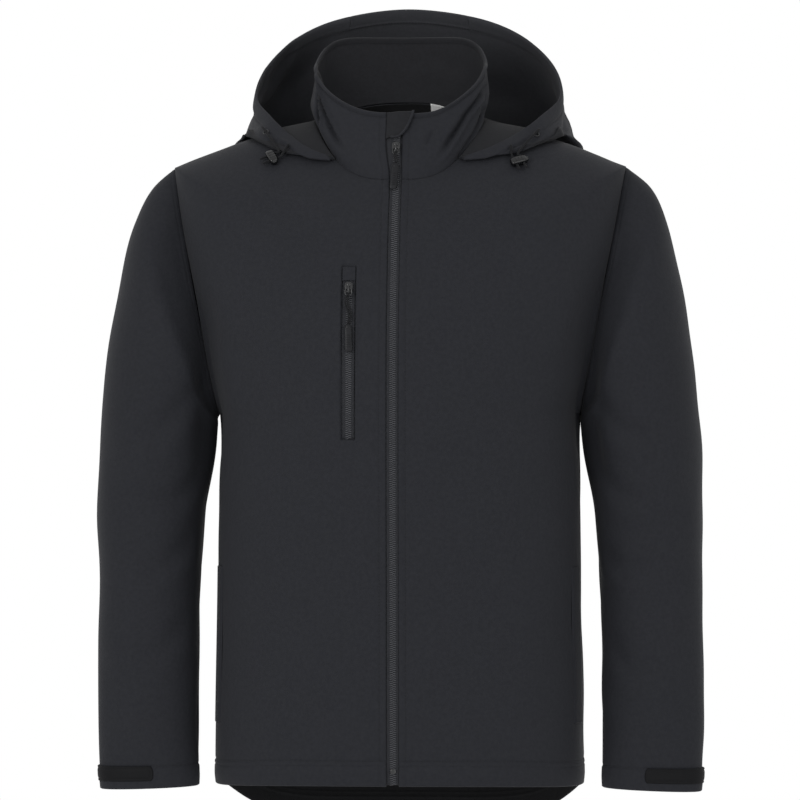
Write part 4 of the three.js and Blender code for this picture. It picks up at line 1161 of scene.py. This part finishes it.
def zip_strip(name, point, half, sunk, teeth_width, flange=0.0):
    """The tape with its coil. A flange carries the tape on under the cloth at both sides."""
    wide = half + flange

    def across(a, b):
        return point(lerp(-wide, wide, a), b)

    grid = Grid(across, fine_a=[(0, 2 * wide)], at_a=0.5)
    side = np.abs(grid.first - grid.first[:, -1:] / 2)
    grid.lift += -sunk - TAPE["drop"] * smooth((side - COIL["half"]) / TAPE["step"])
    grid.lift += TAPE["rise"] * smooth((side - half + TAPE["rise_wide"]) / TAPE["step"])
    grid.lift -= (CLOTH + TAPE["under"] - sunk) * smooth((side - half + 0.2) / 1.1)
    strip = shell(f"{name}_tape", grid, TAPE_FINISH, thick=TAPE["thick"])
    middle = grid.lift.shape[1] // 2
    line = grid.p[:, middle] + grid.n[:, middle] * (COIL["up"] - sunk)
    teeth(f"{name}_coil", line, grid.n[:, middle], teeth_width)
    dress(strip, name, "zip")
    return line, grid.n[:, middle]


ZIP_TOP = NECK + 2.45


def main_zip_point(x, b):
    """A point of the strip. Above the neck seam its right edge widens under the collar's flared end."""
    place = lerp(0.05, ZIP_TOP, b)
    flare = COLLAR_FLARE * smooth((place - NECK) / COLLAR_TOP * 2)
    outward = np.clip((-x - 3.2) / (ZIP_EDGE - SEAM - 3.2), 0, 1)
    return on_zip(x - flare * outward, place)


main_line, main_normals = zip_strip(
    "front_zip", main_zip_point, ZIP_EDGE - SEAM, ZIP_SUNK, 4.4, flange=4)


def place_on_front(x, z):
    """The row of the front panel that has this height at x, found by halving."""
    low, high = 0 * (x + z), 0 * (x + z) + NECK
    for _ in range(26):
        middle = (low + high) / 2
        ring = body_ring(middle, False)
        below = ring_point(ring, turn_at(ring, np.abs(x)))[..., 2] < z
        low, high = np.where(below, middle, low), np.where(below, high, middle)
    return low


def on_front(x, z):
    row = place_on_front(x, z)
    ring = body_ring(row, False)
    return ring_point(ring, turn_at(ring, np.abs(x)) * np.sign(x))


def pocket_strip(low, high):
    return lambda x, b: on_front(POCKET["x"] + x, lerp(low, high, b))


POCKET_TOP = POCKET["high"] - SEAM
chest_line, chest_normals = zip_strip(
    "chest_zip", pocket_strip(POCKET["low"] + SEAM, POCKET_TOP), POCKET["half"] - SEAM - 0.4, 1.6, 4.2)


GARAGE = {"thick": 1.3, "lift": 0.8, "groove": (2.2, 0.7, 0.35)}


def garage():
    point = pocket_strip(POCKET_TOP - POCKET["garage"], POCKET_TOP)
    half = POCKET["half"] - SEAM
    grid = Grid(lambda a, b: point(lerp(-half, half, a), b), fine_a=[(0, 30)], fine_b=[(0, 30)])
    grid.lift += GARAGE["lift"] + trough(grid.inset, *GARAGE["groove"])
    return grid


dress(shell("chest_garage_cloth", garage(), SHELL, thick=GARAGE["thick"]), "chest_garage", "cloth")


def pocket_frame():
    """The four lines of stitching round the pocket, with their normals."""
    half, low, high = POCKET["half"] + 2.4, POCKET["low"], POCKET["high"]
    upright, level = np.linspace(low - 2, high + 2, 90), np.linspace(-half, half, 12)
    runs = [(x, upright) for x in (-half, half)] + [(level, z) for z in (low - 2.6, high + 2.6)]
    for x, z in runs:
        line = on_front(POCKET["x"] + x + 0 * z, z + 0 * x)
        yield line + (0, -0.45, 0), 0 * line + (0, -1, 0)


stitches("chest_pocket_stitching", pocket_frame(), {**STITCH, "pitch": 2.6, "length": 1.9})


# Side pocket welts

WELT = {"low": -616, "high": -452, "from": 70, "to": 79, "thick": 1.4, "lie": 0.9}
WELT_LINE, WELT_GROOVE = 3, (0.9, 0.4)
WELT_SINK = 4  # the inner edge sinks into the cloth over this width


def side_welt(side):
    rows = np.array([np.interp(WELT[k], BODY["zSide"][:6], np.arange(6)) for k in ("low", "high")])

    def point(a, b):
        ring = body_ring(lerp(rows[0], rows[1], b), False)
        return ring_point(ring, np.radians(lerp(WELT["from"], WELT["to"], a)))

    grid = Grid(point, fine_a=[(0, 40)], fine_b=[(0, 8), (-8, 0)]).on_side(side)
    grid.lift += WELT["lie"] + WELT["thick"] + trough(grid.last, WELT_LINE, *WELT_GROOVE)
    grid.lift -= smooth((WELT_SINK - grid.first) / WELT_SINK)
    return grid


for name, side in SIDES.items():
    grid = side_welt(side)
    piece = shell(f"pocket_welt_{name}_cloth", grid, SHELL, thick=WELT["thick"])
    stitches(f"pocket_welt_{name}_stitching", [grid.line("last", WELT_LINE)])
    dress(piece, f"pocket_welt_{name}", "cloth")


# Sliders and pulls. Made flat, x across, y up the zip, z off the cloth, round the pull's hinge.

SLIDER = {"base": (9, 12.5, 2.9), "crown": (5.4, 5, 2.4), "bridge": (3.8, 3.4), "wire": 1.05}
PULL = {"legs": 6, "tab": 29, "width": 8.4, "thick": 2.8, "collar": (5.4, 6, 3.4), "cord": 0.85}
PULL_RIB = {"size": (5.2, 1.0, 0.9), "first": -11, "pitch": 2.5, "count": 6, "proud": 1.35}
HINGES = {joint["child"]: np.array(joint["pos_m"]) / MM for joint in frame["joints"]}


def slider_parts():
    """A base that narrows towards its mouth, a crown, and the bridge that the pull hangs on."""
    def shield(y):
        return 1 - 0.22 * np.clip(-y, 0, 1)

    half, rise = SLIDER["bridge"]
    bridge = [(0, half * math.cos(t), rise * math.sin(t) ** 0.7 - 2.2) for t in np.linspace(0, np.pi, 14)]
    return [
        placed(block(SLIDER["base"], 3.2, 5, 36, 10, shield), (0, 2.4, -3.3)),
        placed(block(SLIDER["crown"], 2.4, 2.4, 24, 8), (0, 5.6, -1.6)),
        sweep(bridge, SLIDER["wire"]),
    ]


def wire_link():
    """A narrow loop of wire round the hinge line, down to the cord."""
    turns = np.linspace(0, 2 * np.pi, 33)[:-1]
    x = 3.5 * power(np.cos(turns), 0.6)
    y = -3.1 + 3.5 * power(np.sin(turns), 0.7)
    return sweep(np.stack([x, y, 0 * x], 1), 0.65, closed=True)


def strands(top, bottom):
    """The pull's cord: one length through the link, its two strands side by side."""
    parts = []
    sway = 0.06 * (top - bottom)
    for hand in (-1, 1):
        t = np.linspace(0, 1, 12)
        x = hand * (0.75 + 0.5 * np.sin(np.pi * t)) - sway * np.sin(2 * np.pi * t)
        y = lerp(top, bottom, t)
        parts.append(sweep(np.stack([x, y, 0.3 * np.sin(3 * np.pi * t)], 1), PULL["cord"]))
    loop = np.linspace(0, np.pi, 10)
    parts.append(sweep(np.stack([np.cos(loop), top + np.sin(loop), 0 * loop], 1), PULL["cord"]))
    return parts


def tab_parts(top, tilt):
    """The moulded grip, with a collar at its top, a waist and raised ribs."""
    def waist(y):
        return 0.86 + 0.14 * np.abs(y) ** 1.5

    grip = block((PULL["width"], PULL["tab"], PULL["thick"]), 5, 3.2, 44, 12, waist)
    collar_end = block(PULL["collar"], 3, 3, 24, 8)
    parts = [placed(grip, (0, -PULL["tab"] / 2, 0)), placed(collar_end, (0, -2, 0))]
    rib = block(PULL_RIB["size"], 3, 2.4, 16, 6)
    for k in range(PULL_RIB["count"]):
        parts.append(placed(rib, (0, PULL_RIB["first"] - PULL_RIB["pitch"] * k, PULL_RIB["proud"])))
    turned = X * math.cos(tilt) + Y * math.sin(tilt), Y * math.cos(tilt) - X * math.sin(tilt)
    return [placed(part, (0, top, 0), *turned) for part in parts]


def slider(name, hinge, seat_normal):
    """The slider, square to its zip."""
    off = unit(seat_normal * (0, 1, 1))
    parts = [placed(p, hinge, X, np.cross(off, X), off) for p in slider_parts()]
    dress(make_mesh(f"{name}_zip_slider_body", *merged(parts), METAL), f"{name}_zip_slider", "metal")


def pull(name, hinge, tip, cord_length, tilt):
    """The pull, which hangs from the hinge towards its tip and turns with its own body."""
    down = unit((tip - hinge) * (0, 1, 1))
    body = f"{name}_pull"
    cord_top, tab_top = -PULL["legs"] + 0.4, -PULL["legs"] - cord_length

    def hung(parts):
        return merged([placed(p, hinge, X, -down, unit(np.cross(down, X))) for p in parts])

    trim(f"{name}_pull_link", hung([wire_link()]), METAL, body)
    trim(f"{name}_pull_cord", hung(strands(cord_top, tab_top + 1)), CORD_CLOTH, body)
    grip = make_mesh(f"{name}_pull_tab", *hung(tab_parts(tab_top, tilt)), RUBBER, body)
    dress(grip, f"{name}_zip_pull", "rubber")


for name, line, normals, x, cord_length, tilt in (
    ("front", main_line, main_normals, 0.0, 12, -5),
    ("chest", chest_line, chest_normals, POCKET["x"], 33, 2),
):
    hinge = HINGES[f"{name}_pull"]
    reach = PULL["legs"] + cord_length + PULL["tab"]
    tip = on_front(np.array(x), np.array(hinge[2] - reach + 1)) + (0, -2.6, 0)
    seat = normals[np.argmin(np.linalg.norm(line - hinge, axis=1))]
    slider(name, hinge, seat)
    pull(name, hinge, tip, cord_length, math.radians(tilt))

trim("front_zip_stop", placed(block((6.4, 5.6, 3.2)), main_line[6], X, Z, -Y), METAL)


# Hood cords: eyelets, two strands into each cord lock and two free ends below it

CORD_RADIUS = 1.3
LOCK = {"width": 19, "height": 9.5, "depth": 8.5}
LOCK_RIB = {"width": 1.1, "depth": 1.0, "places": (-3.6, 0, 3.6)}
LOCK_BUTTON = (3.6, 5.6, 5.6)
EYELET = {"radius": 3.05, "wire": 0.95, "lift": 0.75}
STRAND = {"apart": 8, "above": 1.2, "end": 6, "out": 2.2}
CORD_SETS = [
    {"side": "left", "x": 131, "row": 8.03, "tilt": 20, "eyelet": (0.155, 0.86), "rear": (0.1, 0.8)},
    {"side": "right", "x": -135, "row": 8.05, "tilt": -60, "eyelet": (0.83, 0.86), "rear": (0.895, 0.8)},
]


def on_hood(a, b):
    def at(a, b):
        return hood_point(np.array([a]), np.array([b]))[0]

    return at(a, b), normal_at(at, a, b)


def lock_axes(x, row, tilt):
    hand = math.copysign(1, x)

    def at(turn_step, row_step):
        ring = body_ring(np.array(row + row_step), False)
        return ring_point(ring, turn_at(ring, abs(x)) + turn_step) * (hand, 1, 1)

    normal = normal_at(at, 0, 0, 0.01) * hand
    up = unit(Z - normal * normal[2])
    across = np.cross(up, normal)
    turn = math.radians(tilt)
    return (
        at(0, 0) + normal * 2 * SEAM,
        across * math.cos(turn) + up * math.sin(turn),
        up * math.cos(turn) - across * math.sin(turn),
        normal,
    )


def soft_path(points, count=24):
    points = np.array(points)
    places = np.linspace(0, len(points) - 1, count)
    return np.stack([spline(points[:, axis], places) for axis in range(3)], 1)


def cord_piece(name, points):
    path, radii = round_ends(soft_path(points), CORD_RADIUS)
    piece = make_mesh(f"{name}_braid", *sweep(path, radii, 12), CORD_CLOTH)
    dress(piece, name, "cord")


def cord_lock(side, local, axes):
    """The barrel with its ribs, and the button at its end."""
    barrel = block((LOCK["width"], LOCK["height"], LOCK["depth"]), 4.5, 3.4, 40, 14)
    rib = block((LOCK_RIB["width"], LOCK["height"] * 0.72, LOCK_RIB["depth"]), 3, 2.4, 14, 6)
    button = block(LOCK_BUTTON, 3, 2.6, 24, 8)
    parts = [placed(barrel, local(0, 0), *axes)]
    parts += [placed(rib, local(x, 0, LOCK["depth"] - 0.1), *axes) for x in LOCK_RIB["places"]]
    parts.append(placed(button, local(LOCK["width"] / 2 - 0.4, 0), *axes))
    dress(make_mesh(f"cord_lock_{side}_shell", *merged(parts), GLOSSY), f"cord_lock_{side}", "rubber")


def eyelet(side, eye, normal):
    """A washer flat on the hood."""
    eye_x = unit(np.cross(normal, Z))
    eye_y = np.cross(normal, eye_x)
    turns = np.linspace(0, 2 * np.pi, 29)[:-1]
    ring = EYELET["radius"] * (np.outer(np.cos(turns), eye_x) + np.outer(np.sin(turns), eye_y))
    washer = sweep(eye + normal * EYELET["lift"] + ring, EYELET["wire"], 10, 0.7, normal, True)
    dress(make_mesh(f"eyelet_{side}_ring", *washer, METAL), f"eyelet_{side}", "metal")


def cord_set(spec):
    """One side's cord lock, its eyelet and the four lengths of cord that show."""
    side = spec["side"]
    origin, *axes = lock_axes(spec["x"], spec["row"], spec["tilt"])
    middle = LOCK["depth"] / 2

    def local(x, y, z=middle):
        return origin + axes[0] * x + axes[1] * y + axes[2] * z

    cord_lock(side, local, axes)
    eye, normal = on_hood(*spec["eyelet"])
    eyelet(side, eye, normal)
    hand = math.copysign(1, spec["x"]) * STRAND["apart"] / 2
    top, bottom = LOCK["height"] / 2 + STRAND["above"], -LOCK["height"] / 2 - SEAM
    cord_piece(f"cord_{side}_eyelet", [
        eye + normal * STRAND["out"],
        eye + normal * (STRAND["out"] + 5),
        local(hand, top + 4, middle + 3),
        local(hand, top),
    ])
    rear, rear_normal = on_hood(*spec["rear"])
    lift = CORD_RADIUS + SEAM
    cord_piece(f"cord_{side}_hem", [
        local(-hand, top),
        local(-hand, top + 4, middle + 1),
        rear + rear_normal * (lift + 3),
        rear + rear_normal * lift,
    ])
    for name, x in (("front", STRAND["apart"] / 2), ("rear", -STRAND["apart"] / 2)):
        ends = [local(x, bottom - down) for down in (0.0, STRAND["end"] / 2, STRAND["end"])]
        cord_piece(f"cord_{side}_end_{name}", ends)


for spec in CORD_SETS:
    cord_set(spec)


# Plain size label in the back of the neck

LABEL = {"from": 31, "to": 50, "high": 8.99, "low": 8.45, "lift": 3, "thick": 0.9, "rise": 3.4}


def neck_label():
    def point(a, b):
        ring = body_ring(lerp(LABEL["low"], LABEL["high"], b), True)
        x = lerp(LABEL["from"], LABEL["to"], a)
        return ring_point(ring, np.pi - turn_at(ring, x)) + Z * LABEL["rise"]

    grid = Grid(point, facing=-1, fine_a=[(0, 40)], fine_b=[(0, 40)])
    grid.lift += -LABEL["lift"] + waves(grid.first * 4, grid.low * 4, 0.3, 3)
    return grid


label = shell("neck_label_cloth", neck_label(), WHITE, thick=LABEL["thick"])
dress(label, "neck_label", "label")


# Floor, backdrop and light

bpy.ops.mesh.primitive_plane_add(size=12, location=(0, 0, -1.55))
floor = bpy.context.object
floor.name = "floor"
floor.data.materials.append(new_material("pale_floor", (0.86, 0.86, 0.86), 0.9)[0])
floor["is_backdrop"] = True

SKY_LIGHT = 0.8  # light that falls from all round; the backdrop itself is white
world = bpy.data.worlds.new("studio")
bpy.context.scene.world = world
world.use_nodes = True
sky = world.node_tree.nodes["Background"]
rays = node(world, "ShaderNodeLightPath")
level = node(world, "ShaderNodeMapRange", To_Min=SKY_LIGHT)
fill_in(sky, {"Color": (1, 1, 1, 1)})
link(rays.outputs["Is Camera Ray"], level.inputs["Value"])
link(level.outputs["Result"], sky.inputs["Strength"])


def area_light(name, place, size, power_w):
    light = bpy.data.lights.new(name, "AREA")
    light.size = size
    light.energy = power_w
    lamp = in_scene(name, light)
    lamp.location = place
    lamp.rotation_euler = (AIM - Vector(place)).to_track_quat("-Z", "Y").to_euler()


area_light("key", (-2.0, -3.6, 0.8), 1.5, 50)
area_light("fill", (2.2, -3.4, -0.2), 2.4, 21)

bpy.context.scene.view_settings.view_transform = "Standard"

SEEN_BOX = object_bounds()
[[list(corner) for corner in box] for box in (CAD_BOX, SEEN_BOX)]
